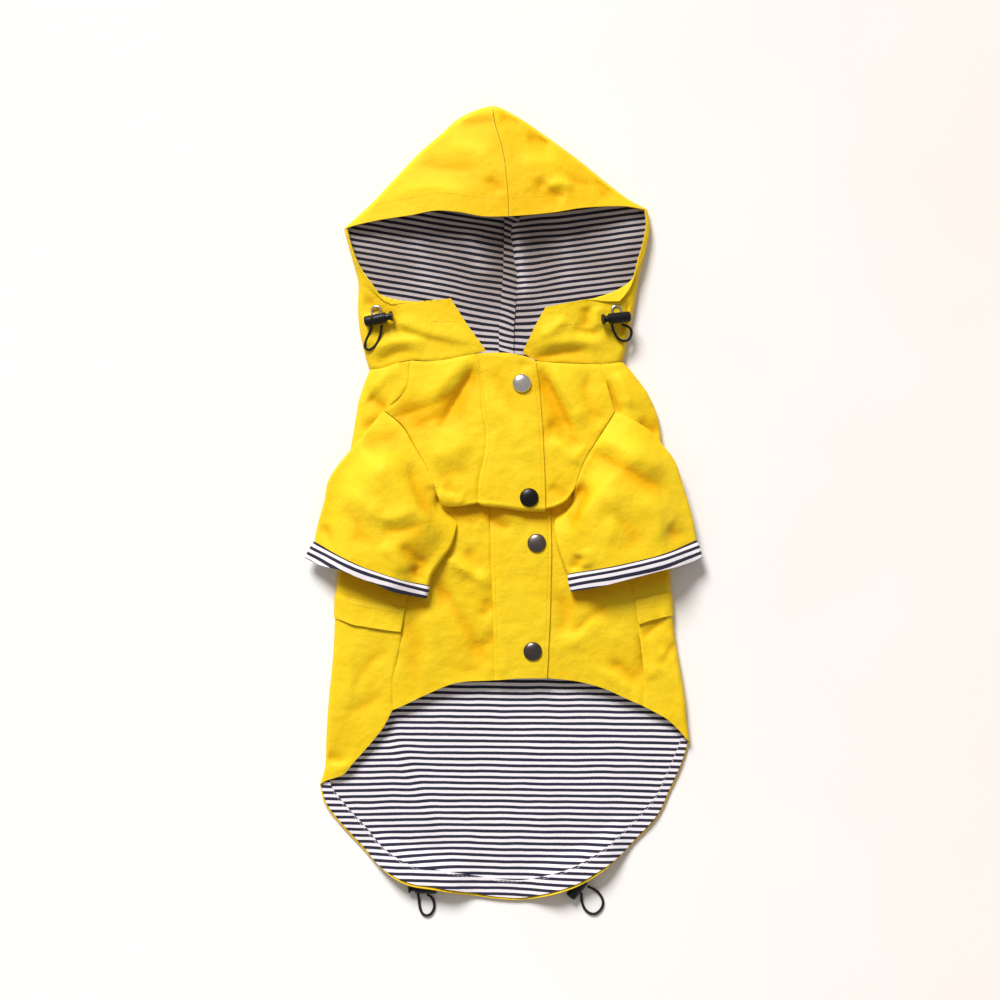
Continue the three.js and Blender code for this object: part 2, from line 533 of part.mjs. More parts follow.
// ---------------------------------------------------------------- sleeves and cuffs
// Each sleeve is a flattened tube on top of the coat. Its upper cloth starts at the front armhole seam,
// its lower cloth at the back armhole seam, and a striped band turns up at its open end.
const SLEEVE_ROWS = 5;
const SLEEVE_STEPS = 5;
const SLEEVE_CLEARANCE = 1; // between a sleeve's lower cloth and the coat, past the seam
const SLEEVE_RADIUS = { start: 0.8, end: 2.2 };
const CUFF_WALL = 1.4;
const CUFF_DROP = 3; // the outer end of a cuff sinks beside the body
const CUFF_DROP_REACH = 20;
const SLEEVE_SHOULDER = 25; // from a sleeve's folded edge to its full height
const FULL_BY = { radius: 2, lift: 4, loft: 3 }; // whole by one over this part of the sleeve's length

function underSleeve(x, y) {
  const outside = Math.max(0, lookUp(SIDE_FOLD.left, y) - x, x - lookUp(SIDE_FOLD.right, y));
  return stripTop(x, y) - CUFF_DROP * smooth(outside / CUFF_DROP_REACH);
}

function sleeveRow(side, outer, inner, j, upper, lower, end, v) {
  const length = gap(outer[j], inner[j]);
  const radius = mix(SLEEVE_RADIUS.start, SLEEVE_RADIUS.end, smooth(v * FULL_BY.radius));
  const onEdge = rowSteps(length, radius, SLEEVE_STEPS);
  const steps = [...onEdge.slice(0, -1), ...rowSteps(length, radius, 1).slice(0, FOLD_STEPS.length).reverse()
    .map((t) => 1 - t)];
  const place = (t, edge) => patchPoint(outer, inner, edge, end, j, t);
  const lift = (t, [x, y]) => {
    const d = Math.min(t, 1 - t) * length;
    return [underSleeve(x, y) + NEST + SLEEVE_CLEARANCE * smooth(v * FULL_BY.lift), arc(d, radius), d];
  };
  const top = steps.map((t) => {
    const point = place(t, upper);
    const [base, bulge, d] = lift(t, point);
    const inside = smooth((d - radius) / SLEEVE_SHOULDER);
    const loft = smooth(v * FULL_BY.loft);
    const full = base + radius + bulge + SLEEVE_LOFT * inside * loft;
    const seam = Math.max(chestOrBelly(side, point), base + radius + bulge);
    return new THREE.Vector3(...point, mix(mix(full, seam, inside), full, loft));
  });
  const bottom = steps.slice(1, -1).reverse().map((t) => {
    const point = place(t, lower);
    const [base, bulge] = lift(t, point);
    return new THREE.Vector3(...point, base + radius - bulge);
  });
  return [...top, ...bottom, top[0].clone()];
}

// Height of the front at the armhole seam: the chest down to the pleat, the belly from there to the armpit.
const PLEAT_STEP = { below: 8, length: 10 };
function chestOrBelly(side, [x, y]) {
  const pleatEnd = side.armhole.at(-1)[1] - PLEAT_STEP.below;
  return mix(bellyTop(x, y), chestTop(x, y), smooth((y - pleatEnd) / PLEAT_STEP.length));
}

for (const [name, side] of Object.entries(SIDES)) {
  const armholeFront = curve([...side.armhole, ...side.underarm.slice(1)]);
  const armholeBack = curve(side.backArmhole);
  const cuffTop = curve(side.cuffTop);
  const outer = rail([side.sleeveOuter, SLEEVE_ROWS]);
  const inner = rail([side.sleeveInner, SLEEVE_ROWS]);
  const rows = outer.map((_, j) =>
    sleeveRow(side, outer, inner, j, armholeFront, armholeBack, cuffTop, j / SLEEVE_ROWS));
  const sleeve = makeSheet(rows, side.sign);
  addCloth(`sleeve_${name}`, heldBack(heldBack(sleeve, ['first'], SLEEVE_SEAM), ['last']), YELLOW);

  const cuffRails = [rail([side.cuffOuter, 2]), rail([side.cuffInner, 2])];
  const cuffRows = [0, 1, 2].map((j) =>
    sleeveRow(side, ...cuffRails, j, cuffTop, cuffTop, curve(side.cuffBottom), 1));
  const cuff = makeSheet(cuffRows, side.sign);
  addCloth(`cuff_${name}`, heldBack(cuff, ['first']), STRIPED, CUFF_WALL);
}

// ---------------------------------------------------------------- hood
// Each half runs from the centre back seam on the surface, round the side fold, to the free edge:
// the brim from the centre seam out to the corner, then the rim, the collar and the neck opening.
const HOOD_ROWS = { crown: 7, rim: 3, collar: 2, opening: 3 };
const HOOD_UNDER_STEPS = 4;
const HOOD_OVER_STEPS = 3;
const HOOD_STRIP = 10; // width of the strip that covers the lining's centre seam
const hoodTop = (distance, y) => rise(distance, y,
  mix(lookUp(CHEST_HEIGHT, y), BRIM_HEIGHT, smooth((y - HOOD_BEND.from) / HOOD_BEND.length)));
const seamX = (y) => lookUp(CENTRE_SEAM.map((p) => [p[1], p[0]]).reverse(), y);

const hoods = {};
for (const [name, side] of Object.entries(SIDES)) {
  const rows = HOOD_ROWS.crown + HOOD_ROWS.rim + HOOD_ROWS.collar + HOOD_ROWS.opening;
  const corner = HOOD_ROWS.crown;
  const fold = rail([side.crown, corner], [side.hoodFold, rows - corner]);
  const edge = rail([side.brim, corner], [side.rim, HOOD_ROWS.rim], [side.collar, HOOD_ROWS.collar],
    [side.opening, HOOD_ROWS.opening]);
  const centre = rail([CENTRE_SEAM, rows]);
  const tip = () => side.crown[0];
  const crownSeam = curve(CENTRE_SEAM.slice(0, 7));
  const neckUnder = curve(NECK_UNDER[name]);
  const neckOver = curve(side.neck);
  const points = fold.map((_, j) => {
    const underLength = Math.max(gap(fold[j], centre[j]), 1e-6);
    const radius = foldRadius(fold[j][1]);
    const under = rowSteps(underLength, radius, HOOD_UNDER_STEPS).slice(1).reverse().map((t) => {
      const [x, y] = patchPoint(centre, fold, tip, neckUnder, j, 1 - t);
      return new THREE.Vector3(x, y, underFold(t * underLength, radius));
    });
    const overLength = gap(fold[j], edge[j]);
    const isCrown = j < corner;
    const part = isCrown ? [0, corner] : [corner, rows];
    const [foldPart, edgePart] = [fold, edge].map((r) => r.slice(part[0], part[1] + 1));
    const first = isCrown ? crownSeam : (t) => mixPoint(fold[corner], edge[corner], t);
    const last = isCrown ? (t) => mixPoint(fold[corner], edge[corner], t) : neckOver;
    const over = rowSteps(overLength, radius, HOOD_OVER_STEPS).map((t) => {
      const [x, y] = patchPoint(foldPart, edgePart, first, last, j - part[0], t);
      const d = t * overLength;
      return new THREE.Vector3(x, y, d < radius ? overFold(d, radius) : hoodTop(d, y));
    });
    return [...under, ...over];
  });
  const sheet = makeSheet(points, side.sign);
  hoods[name] = sheet;
  const keep = (p) => {
    const seam = seamX(p.y);
    p.x = side.sign < 0 ? Math.min(p.x, seam - SEAM) : Math.max(p.x, seam + SEAM);
  };
  addCloth(`hood_${name}`, heldBack(sheet, ['last'], NECK_SEAM), YELLOW, WALL, keep);

  const inner = cut(sheet, [corner - 2, rows], [0, HOOD_UNDER_STEPS + FOLD_STEPS.length]);
  const lining = heldBack(lifted(inner, -NEST), ['start'], HOOD_STRIP / 2 + SEAM);
  addCloth(`hood_lining_${name}`, lining, STRIPED);
}

// The lining's two halves meet a narrow strip down the middle of the hood.
const stripRows = [205, 175, 145, 115, 98].map((y) =>
  [-0.5, 0, 0.5].map((side) => new THREE.Vector3(seamX(y) + side * HOOD_STRIP, y, FLOOR + NEST)));
addCloth('hood_lining_centre', makeSheet(stripRows, -1), STRIPED);

// ---------------------------------------------------------------- press studs, eyelets and cord locks
// The highest point of a sheet above x, y, with the way its face looks there.
function topOf(sheet, x, y) {
  const ray = new THREE.Ray(new THREE.Vector3(x, y, 100), new THREE.Vector3(0, 0, -1));
  let best = { point: new THREE.Vector3(x, y, -1), normal: new THREE.Vector3(0, 0, 1) };
  const target = new THREE.Vector3();
  const { points } = sheet;
  for (let j = 0; j + 1 < points.length; j += 1) {
    for (let i = 0; i + 1 < points[j].length; i += 1) {
      const [a, b, c, d] = [points[j][i], points[j][i + 1], points[j + 1][i + 1], points[j + 1][i]];
      for (const face of [[a, b, c], [a, c, d]]) {
        if (!ray.intersectTriangle(...face, false, target) || target.z <= best.point.z) continue;
        const normal = new THREE.Triangle(...face).getNormal(new THREE.Vector3());
        best = { point: target.clone(), normal: normal.multiplyScalar(Math.sign(normal.z)) };
      }
    }
  }
  return best;
}

function lathe(profile, segments = 16) {
  return new THREE.LatheGeometry(profile.map(([r, h]) => new THREE.Vector2(r, h)), segments)
    .rotateX(Math.PI / 2);
}

// Sets a piece on a sheet: its own +Z along the face, its base clear of the cloth.
function setOn(mesh, sheet, [x, y], clearance) {
  const { point, normal } = topOf(sheet, x, y);
  mesh.position.copy(point).addScaledVector(normal, WALL / 2 + clearance);
  mesh.quaternion.setFromUnitVectors(new THREE.Vector3(0, 0, 1), normal);
}

const STUD_CLEARANCE = 0.35; // between a cap and the cloth under it
const STUD_PROFILE = [[0, 0], [CAP_RADIUS, 0], [CAP_RADIUS, 0.7], [5.8, 1.35], [4.2, 2.05], [2.1, 2.4],
  [0, 2.5]];
const STUDS = { neck: [12, 81.3], chest: [17, 4], belly: [22.2, -26.8], hem: [19.5, -100.2] };
const placketTop = lifted(placketSheet, NEST);
for (const [name, place] of Object.entries(STUDS)) {
  const stud = addMesh(`stud_${name}`, lathe(STUD_PROFILE, 20), NICKEL);
  setOn(stud, placketTop, place, STUD_CLEARANCE);
}

const EYELET_CLEARANCE = 0.4;
const EYELET_PROFILE = [[2.2, 0], [3.9, 0], [3.9, 0.4], [3.1, 1], [2.2, 0.7], [2.2, 0]];
const EYELETS = { left: [-86.6, 130.8], right: [76.2, 131.2] };
for (const [name, place] of Object.entries(EYELETS)) {
  const eyelet = addMesh(`eyelet_${name}`, lathe(EYELET_PROFILE), NICKEL);
  setOn(eyelet, hoods[name], place, EYELET_CLEARANCE);
}

// A cord lock: a barrel with a blind bore, and a plunger with a neck and a thin flange that presses in.
const BARREL = { radius: 3.7, length: 15, bore: 2.7, floor: 5 };
const PLUNGER = { neck: 2.35, flange: 3.5, start: 9.2, travel: 3, thickness: 1.6 };
const flangeAt = BARREL.length + PLUNGER.travel + 0.1;
const BARREL_PROFILE = [[0, 0], [3.3, 0], [BARREL.radius, 0.4], [BARREL.radius, BARREL.length],
  [BARREL.bore, BARREL.length], [BARREL.bore, BARREL.floor], [0, BARREL.floor]];
const PLUNGER_PROFILE = [[0, PLUNGER.start], [PLUNGER.neck, PLUNGER.start], [PLUNGER.neck, flangeAt],
  [PLUNGER.flange, flangeAt], [PLUNGER.flange, flangeAt + PLUNGER.thickness],
  [0, flangeAt + PLUNGER.thickness]];

// Each lock's closed end, and a point that it looks towards.
const LOCKS = {
  hood_left: { end: [-94.4, 123.2, 13.6], towards: [-76, 126.8, 17] },
  hood_right: { end: [85.6, 126.8, 13], towards: [66.6, 124.6, 17.2] },
  hem_left: { end: [-45.5, -262.2, 3.75], towards: [-65.1, -261.8, 3.75] },
  hem_right: { end: [44.9, -268.1, 3.75], towards: [57.3, -252.9, 3.75] },
};
for (const [name, lock] of Object.entries(LOCKS)) {
  const end = new THREE.Vector3(...lock.end);
  const axis = new THREE.Vector3(...lock.towards).sub(end).normalize();
  const holder = new THREE.Group();
  holder.position.copy(end);
  holder.quaternion.setFromUnitVectors(new THREE.Vector3(0, 0, 1), axis);
  group.add(holder);
  addMesh(`lock_barrel_${name}`, lathe(BARREL_PROFILE), BLACK, holder);
  addMesh(`lock_plunger_${name}`, lathe(PLUNGER_PROFILE), BLACK, holder);
}

// ---------------------------------------------------------------- elastic loops
// Round elastic comes out of each lock's side, makes a loop and goes back in.
const LOOPS = {
  hood_left: [[-89.6, 119.8, 13.8], [-90.6, 117.2, 12.4], [-92.2, 113.8, 11], [-93.6, 110.6, 10],
    [-94.4, 108, 9.4], [-94.3, 105.9, 9.2], [-92.9, 104.6, 9.8], [-91.2, 104.5, 10.2], [-89.4, 105.4, 10.7],
    [-87.2, 107.4, 11.2], [-85.3, 110.6, 11.8], [-84, 114.2, 12.6], [-83.2, 117.6, 13.8], [-82.9, 120.9, 15.2]],
  hood_right: [[73.2, 121, 15.2], [73.6, 119.4, 14], [74.3, 117.2, 12.8], [75.4, 115, 11.8], [76.8, 112.9, 11.2],
    [78.6, 111.3, 10.6], [80.6, 110.5, 10], [82.8, 110.5, 9.4], [84.8, 111.5, 9], [86.1, 113.6, 8.8],
    [86.6, 116, 9], [86.2, 118, 9.8], [84.6, 119.8, 11.2], [82.4, 120.6, 12.6], [80, 121.3, 13.6]],
  hem_left: [[-58.5, -266.2, 3.7], [-58.2, -268, 2.4], [-57.9, -270.2, 1.3], [-57.8, -272.4, 1],
    [-57.4, -275.2, 1], [-56.5, -278, 1], [-55, -280.1, 1], [-53.3, -280.9, 1], [-51.6, -280.8, 1],
    [-50, -279.9, 1], [-48.5, -277.9, 1], [-47.6, -275.4, 1], [-47.6, -272.8, 1], [-48.4, -270, 1.3],
    [-50, -267.8, 2.3], [-52, -266.4, 3.7]],
  hem_right: [[52.7, -265.5, 3.7], [52.8, -267.6, 2.4], [53, -270.4, 1.3], [53.7, -273.4, 1], [55, -276.2, 1],
    [57.2, -278.5, 1], [59.6, -279.7, 1], [61.9, -279.8, 1], [64.2, -278.6, 1], [66.4, -276.2, 1],
    [67.5, -273.2, 1], [67.2, -270, 1], [65.6, -266.9, 1], [63.2, -264.3, 1.4], [60.2, -262.3, 2.4],
    [57.2, -260.8, 3.7]],
};
const CORD_SIDES = 8;
const CORD_STEP = 1.6; // between two rings of points, in diameters
const circle = new THREE.Shape(Array.from({ length: CORD_SIDES }, (_, k) => {
  const angle = (2 * Math.PI * k) / CORD_SIDES;
  return new THREE.Vector2((CORD / 2) * Math.cos(angle), (CORD / 2) * Math.sin(angle));
}));
for (const [name, route] of Object.entries(LOOPS)) {
  const path = new THREE.CatmullRomCurve3(route.map((p) => new THREE.Vector3(...p)), false, 'centripetal');
  const steps = Math.round(path.getLength() / (CORD_STEP * CORD));
  addMesh(`elastic_${name}`,
    new THREE.ExtrudeGeometry(circle, { extrudePath: path, steps, bevelEnabled: false }), ELASTIC);
}

export default group;
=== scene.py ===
# A raincoat for a small dog, laid out flat on its back with the hood open.
# The shell is yellow proofed cotton, lined at the hood, the hem and the cuffs with striped jersey. It closes
# with press studs down a placket, and round elastic with cord locks draws in the hood and the hem.
# Tables are in millimetres, +Y from the back hem to the tip of the hood, and meshes are made in metres.

import math

import bmesh
import bpy
import numpy as np
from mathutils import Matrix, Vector
from mathutils.bvhtree import BVHTree


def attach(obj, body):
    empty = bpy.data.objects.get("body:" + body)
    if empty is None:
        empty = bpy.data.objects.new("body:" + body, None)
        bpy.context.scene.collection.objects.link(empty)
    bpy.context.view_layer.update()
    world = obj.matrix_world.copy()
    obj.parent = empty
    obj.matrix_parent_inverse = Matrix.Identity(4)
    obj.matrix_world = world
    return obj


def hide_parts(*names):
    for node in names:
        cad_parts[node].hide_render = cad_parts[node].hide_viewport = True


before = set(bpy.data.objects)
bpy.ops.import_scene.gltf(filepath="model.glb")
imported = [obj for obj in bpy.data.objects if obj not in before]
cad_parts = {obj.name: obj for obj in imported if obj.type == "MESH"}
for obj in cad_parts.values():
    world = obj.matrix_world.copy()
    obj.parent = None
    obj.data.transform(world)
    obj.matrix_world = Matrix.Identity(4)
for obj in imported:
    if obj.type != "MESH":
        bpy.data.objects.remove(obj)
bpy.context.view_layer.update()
MM = 0.001

# ---------------------------------------------------------------- camera
# It looks straight down on the coat, from high enough for the hood's brim and the hem to be seen at one
# scale.
VIEW_WIDTH = 0.68
VIEW_HEIGHT = 2.0
VIEW_MIDDLE = (-0.0027, 0.0024)
FOCUS_LEVEL = 0.007  # the height at which the picture is VIEW_WIDTH wide

camera = bpy.data.objects.new("camera", bpy.data.cameras.new("camera"))
bpy.context.scene.collection.objects.link(camera)
camera.location = (*VIEW_MIDDLE, VIEW_HEIGHT + FOCUS_LEVEL)
camera.data.sensor_width = 36
camera.data.lens = camera.data.sensor_width * VIEW_HEIGHT / VIEW_WIDTH
camera.data.clip_end = 20
bpy.context.scene.camera = camera
bpy.context.scene.view_settings.view_transform = "Standard"

# ---------------------------------------------------------------- elastic loops
# Round braided elastic, 1.8 mm thick, comes out of each cord lock, makes a small loop and goes back in.
# The loops at the hood lie on the collar, and the loops at the hem lie on the table.
CORD = 1.8
LOOPS = {
    "hood_left": [
        (-89.6, 119.8, 13.8), (-90.6, 117.2, 12.4), (-92.2, 113.8, 11), (-93.6, 110.6, 10), (-94.4, 108, 9.4),
        (-94.3, 105.9, 9.2), (-92.9, 104.6, 9.8), (-91.2, 104.5, 10.2), (-89.4, 105.4, 10.7),
        (-87.2, 107.4, 11.2), (-85.3, 110.6, 11.8), (-84, 114.2, 12.6), (-83.2, 117.6, 13.8),
        (-82.9, 120.9, 15.2),
    ],
    "hood_right": [
        (73.2, 121, 15.2), (73.6, 119.4, 14), (74.3, 117.2, 12.8), (75.4, 115, 11.8), (76.8, 112.9, 11.2),
        (78.6, 111.3, 10.6), (80.6, 110.5, 10), (82.8, 110.5, 9.4), (84.8, 111.5, 9), (86.1, 113.6, 8.8),
        (86.6, 116, 9), (86.2, 118, 9.8), (84.6, 119.8, 11.2), (82.4, 120.6, 12.6), (80, 121.3, 13.6),
    ],
    "hem_left": [
        (-58.5, -266.2, 3.7), (-58.2, -268, 2.4), (-57.9, -270.2, 1.3), (-57.8, -272.4, 1),
        (-57.4, -275.2, 1),
        (-56.5, -278, 1), (-55, -280.1, 1), (-53.3, -280.9, 1), (-51.6, -280.8, 1), (-50, -279.9, 1),
        (-48.5, -277.9, 1), (-47.6, -275.4, 1), (-47.6, -272.8, 1), (-48.4, -270, 1.3), (-50, -267.8, 2.3),
        (-52, -266.4, 3.7),
    ],
    "hem_right": [
        (52.7, -265.5, 3.7), (52.8, -267.6, 2.4), (53, -270.4, 1.3), (53.7, -273.4, 1), (55, -276.2, 1),
        (57.2, -278.5, 1), (59.6, -279.7, 1), (61.9, -279.8, 1), (64.2, -278.6, 1), (66.4, -276.2, 1),
        (67.5, -273.2, 1), (67.2, -270, 1), (65.6, -266.9, 1), (63.2, -264.3, 1.4), (60.2, -262.3, 2.4),
        (57.2, -260.8, 3.7),
    ],
}


def new_material(name):
    """A material with its Principled shader, and a function that adds nodes to it."""
    material = bpy.data.materials.new(name)
    material.use_nodes = True
    tree = material.node_tree
    shader = tree.nodes["Principled BSDF"]

    def add(kind, inputs=(), **settings):
        node = tree.nodes.new("ShaderNode" + kind)
        for key, value in settings.items():
            setattr(node, key, value)
        for key, value in dict(inputs).items():
            if isinstance(value, bpy.types.NodeSocket):
                tree.links.new(value, node.inputs[key])
            else:
                node.inputs[key].default_value = value
        return node

    def into(socket, value):
        tree.links.new(value, shader.inputs[socket])

    return material, shader, add, into


def braided_elastic():
    material, shader, add, into = new_material("braided_elastic")
    place = add("TexCoord").outputs["Object"]
    strands = add("TexWave", {"Vector": place, "Scale": 420.0, "Distortion": 3.0}, bands_direction="DIAGONAL")
    fuzz = add("TexNoise", {"Vector": place, "Scale": 2600.0, "Detail": 3.0})
    shade = add("Mix", {0: strands.outputs[1], 6: (0.005, 0.005, 0.006, 1), 7: (0.016, 0.015, 0.017, 1)},
                data_type="RGBA")
    both = add("Math", {0: strands.outputs[1], 1: fuzz.outputs[0]}, operation="ADD")
    bump = add("Bump", {"Height": both.outputs[0], "Distance": 0.0002, "Strength": 0.7})
    into("Base Color", shade.outputs[2])
    into("Normal", bump.outputs[0])
    shader.inputs["Roughness"].default_value = 0.75
    shader.inputs["Specular IOR Level"].default_value = 0.25
    return material


ELASTIC = braided_elastic()
for name, route in LOOPS.items():
    data = bpy.data.curves.new(f"elastic_loop_{name}", "CURVE")
    data.dimensions = "3D"
    data.bevel_depth = CORD / 2 * MM
    data.bevel_resolution = 4
    data.use_fill_caps = True
    data.resolution_u = 8
    line = data.splines.new("BEZIER")
    line.bezier_points.add(len(route) - 1)
    for knot, point in zip(line.bezier_points, route):
        knot.co = Vector(point) * MM
        knot.handle_left_type = "AUTO"
        knot.handle_right_type = "AUTO"
    data.materials.append(ELASTIC)
    elastic = bpy.data.objects.new(f"elastic_loop_{name}", data)
    bpy.context.scene.collection.objects.link(elastic)
    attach(elastic, "root")
    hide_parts(f"elastic_{name}")

# ---------------------------------------------------------------- table and light
# A pale table, with painted shade that makes it warmer and darker towards +X, and soft light from a large
# window beyond the hood and a little to the left.
ROOM_STRENGTH = 0.40
WINDOW_STRENGTH = 4.55
WINDOW_SPREAD = 22  # degrees across, as the table sees it
WINDOW_FROM = (-0.36, 0.95, 0.78)


def pale_table():
    material, shader, add, into = new_material("pale_table")
    place = add("TexCoord").outputs["Object"]
    grain = add("TexNoise", {"Vector": place, "Scale": 7.0, "Detail": 2.0})
    sideways = add("SeparateXYZ", {0: place})
    # Painted shade: the table's colour turns warmer and darker towards +X, where the light falls off, with
    # the grain's uneven tone added.
    share = add("MapRange", {0: sideways.outputs[0], 1: -0.1, 2: 0.32, 3: 0.0, 4: 0.85})
    uneven = add("MapRange", {0: grain.outputs[0], 1: 0.3, 2: 0.7, 3: -0.12, 4: 0.12})
    painted_falloff_and_grain = add("Math", {0: share.outputs[0], 1: uneven.outputs[0]}, operation="ADD", use_clamp=True)
    tint = add("Mix", {0: painted_falloff_and_grain.outputs[0], 6: (0.815, 0.810, 0.812, 1), 7: (0.79, 0.735, 0.70, 1)},
               data_type="RGBA")
    into("Base Color", tint.outputs[2])
    shader.inputs["Roughness"].default_value = 0.9
    shader.inputs["Specular IOR Level"].default_value = 0.1
    return material


bpy.ops.mesh.primitive_plane_add(size=8)
table = bpy.context.object
table.name = "table"
table.data.materials.append(pale_table())

world = bpy.data.worlds.new("studio")
world.use_nodes = True
world.node_tree.nodes["Background"].inputs["Color"].default_value = (1, 0.945, 0.88, 1)
world.node_tree.nodes["Background"].inputs["Strength"].default_value = ROOM_STRENGTH
bpy.context.scene.world = world

window = bpy.data.objects.new("window", bpy.data.lights.new("window", "SUN"))
window.data.energy = WINDOW_STRENGTH
window.data.angle = math.radians(WINDOW_SPREAD)
window.data.color = (1, 0.995, 0.985)
window.rotation_euler = (-Vector(WINDOW_FROM)).to_track_quat("-Z", "Y").to_euler()
bpy.context.scene.collection.objects.link(window)

# ---------------------------------------------------------------- back panel
# Yellow proofed cotton. One panel runs from the shoulder, armhole and side seam on the left, round the left
# side fold, under the whole coat, and round the right side fold to the same seams on the right.
WALL = 0.9
FLOOR = 0.5
NEST = 1.4
FOLD_RADIUS = 3.5
CORNER_RADIUS = 2.2
SLOPE = 75
CHEST_HEIGHT = [(-20, 20), (0, 20), (40, 19), (70, 17.5), (100, 15.5), (150, 15.5)]
BELLY_HEIGHT = [(-200, 6), (-145, 8.5), (-120, 9.5), (-90, 11.5), (-40, 13), (20, 12.8)]

SIDES = {
    "left": {
        "sign": -1,
        "crown": [(-8, 270.6), (-19, 267.4), (-31.7, 261), (-42.2, 251.4), (-56, 239.6),
                  (-72.7, 222.3), (-90.7, 203.2), (-108.5, 187)],
        "brim": [(3, 194), (-14, 194), (-31, 197), (-47, 198), (-64, 195), (-83, 192.6), (-99, 189.5),
                 (-107, 187.2)],
        "hood_fold": [(-108.5, 187), (-103, 167), (-98.8, 151), (-99, 132), (-97.5, 116), (-93, 97),
                      (-91, 91)],
        "rim": [(-107, 187.2), (-102.5, 172), (-97, 159), (-88, 146.6), (-81.5, 138), (-76, 135)],
        "collar": [(-76, 135), (-66, 136), (-52, 137), (-36, 139)],
        "opening": [(-36, 139), (-26, 123), (-12, 103.3)],
        "neck": [(-91, 91), (-83, 92), (-72, 95.5), (-64, 97), (-48, 96.6), (-36, 98), (-20, 101.5),
                 (-12, 103.3)],
        "shoulder": [(-64, 97), (-66, 79), (-81, 63)],
        "armhole": [(-81, 63), (-69, 53), (-60, 38), (-53, 26), (-46, 10.5)],
        "underarm": [(-47, 15), (-44, 0.7), (-39, -4.7), (-31.5, -11.6)],
        "back_armhole": [(-81, 63), (-90, 44), (-84, 20), (-64, 0), (-32, -12)],
        "side_seam": [(-32, -12), (-50, -36), (-65, -62.7), (-66.4, -70.4)],
        "body_fold": [(-91, 91), (-94.5, 82), (-98.5, 70)],
        "body_fold_middle": [(-98.5, 70), (-101, 55), (-105, 30), (-109, -8)],
        "body_fold_lower": [(-109, -8), (-112.5, -40), (-114, -61)],
        "body_fold_hem": [(-114.6, -78), (-116, -104), (-119, -135), (-120.6, -160), (-121.5, -180),
                          (-125, -191.5)],
        "seam_hem": [(-69.4, -87), (-73, -107), (-76, -122), (-76, -140.5)],
        "belly_hem": [(-76, -140.5), (-82, -152), (-95, -168), (-104, -178), (-109, -184), (-123, -189.5),
                      (-125, -191.5)],
        "front_hem": [(-76, -140.5), (-69, -137.5), (-51, -129), (-33, -122), (-7, -120)],
        "sleeve_outer": [(-81, 63), (-103, 37), (-113, 25), (-119, 15), (-121.5, 2), (-126, -14),
                         (-128.4, -26)],
        "sleeve_inner": [(-31.5, -13), (-34.6, -25), (-37, -31), (-41, -36.5), (-49, -48.5), (-51, -55.4)],
        "cuff_top": [(-128.4, -26), (-112, -35), (-95, -43), (-82, -47.5), (-68, -52), (-51, -55.4)],
        "cuff_outer": [(-128.4, -26), (-134.6, -37)],
        "cuff_inner": [(-51, -55.4), (-53, -64)],
        "cuff_bottom": [(-134.6, -37), (-125, -41.5), (-110.5, -45), (-97.5, -50), (-84.5, -55), (-76, -59),
                        (-63, -62), (-53, -64)],
        "neck_under": [(1, 96.5), (-22, 96), (-46, 95), (-70, 93.2), (-91, 91)],
    },
    "right": {
        "sign": 1,
        "crown": [(-8, 270.6), (-4, 269.6), (10.5, 262), (26, 251.5), (50, 234), (69, 218.6), (85, 206.5),
                  (97.2, 200)],
        "brim": [(3, 194), (17, 195), (35, 197), (52, 200), (69, 201.4), (83, 201.6), (95.6, 199.6)],
        "hood_fold": [(97.2, 200), (99, 188), (96, 172), (92, 156), (88, 132), (84, 114), (82, 103),
                      (80, 96.6)],
        "rim": [(95.6, 199.6), (96.6, 190), (94.5, 177), (91, 165), (87, 151), (82, 141), (78, 137)],
        "collar": [(78, 137), (69, 137), (57, 138), (42, 136), (28, 133)],
        "opening": [(28, 133), (21, 120), (12.5, 102.2)],
        "neck": [(80, 96.6), (74, 95.2), (66, 94.6), (52, 95), (37, 95.6), (20.7, 97.4), (12.5, 102.2)],
        "shoulder": [(66, 94.6), (70, 80), (75, 62)],
        "armhole": [(75, 62), (66, 48), (59, 37), (53, 26), (48, 10.5)],
        "underarm": [(49, 14), (46, 4), (42, -3), (35.4, -9.5)],
        "back_armhole": [(75, 62), (88, 44), (84, 20), (64, 0), (36, -10)],
        "side_seam": [(36, -10), (62, -32), (85, -53), (88.4, -65.5)],
        "body_fold": [(80, 96.6), (87, 89), (97, 76)],
        "body_fold_middle": [(97, 76), (104, 60), (107, 40), (110, -4)],
        "body_fold_lower": [(110, -4), (112.5, -36), (113.2, -60)],
        "body_fold_hem": [(114.2, -76), (116, -92), (118.5, -106), (123, -134), (124, -147), (126, -162)],
        "seam_hem": [(91, -82), (93.4, -100), (94.8, -118), (94.6, -137.6)],
        "belly_hem": [(94.6, -137.6), (102, -141.5), (110, -146), (118, -153), (124, -160), (126, -162)],
        "front_hem": [(94.6, -137.6), (82, -132), (69, -126), (51, -121), (29, -118.4)],
        "sleeve_outer": [(75, 62), (88, 56), (99, 48.5), (107, 40), (116, 28), (121, 13), (127, -7),
                         (130.4, -25)],
        "sleeve_inner": [(34, -11), (33.5, -18), (35, -26), (39, -37), (43.3, -47.6)],
        "cuff_top": [(130.4, -25), (108, -34), (78, -41.5), (43.3, -47.6)],
        "cuff_outer": [(130.4, -25), (134.6, -37)],
        "cuff_inner": [(43.3, -47.6), (45.5, -59.4)],
        "cuff_bottom": [(134.6, -37), (119, -42), (103, -46), (76, -53), (60, -57), (45.5, -59.4)],
        "neck_under": [(1, 96.5), (20, 96.6), (40, 96.8), (60, 96.8), (80, 96.6)],
    },
}
BACK_HEM = [(-125, -191.5), (-122, -204.5), (-112, -218), (-98, -233), (-83, -249), (-66, -259),
            (-47, -262.5), (-24, -266.5), (-3, -269.5), (13.5, -270), (30.5, -266.5), (51, -259.5),
            (71, -247), (88, -231.5), (105, -213), (113, -196), (121, -178), (126, -162)]


def mix(a, b, t):
    return a + (b - a) * t


def smooth(t):
    t = np.clip(t, 0, 1)
    return t * t * (3 - 2 * t)


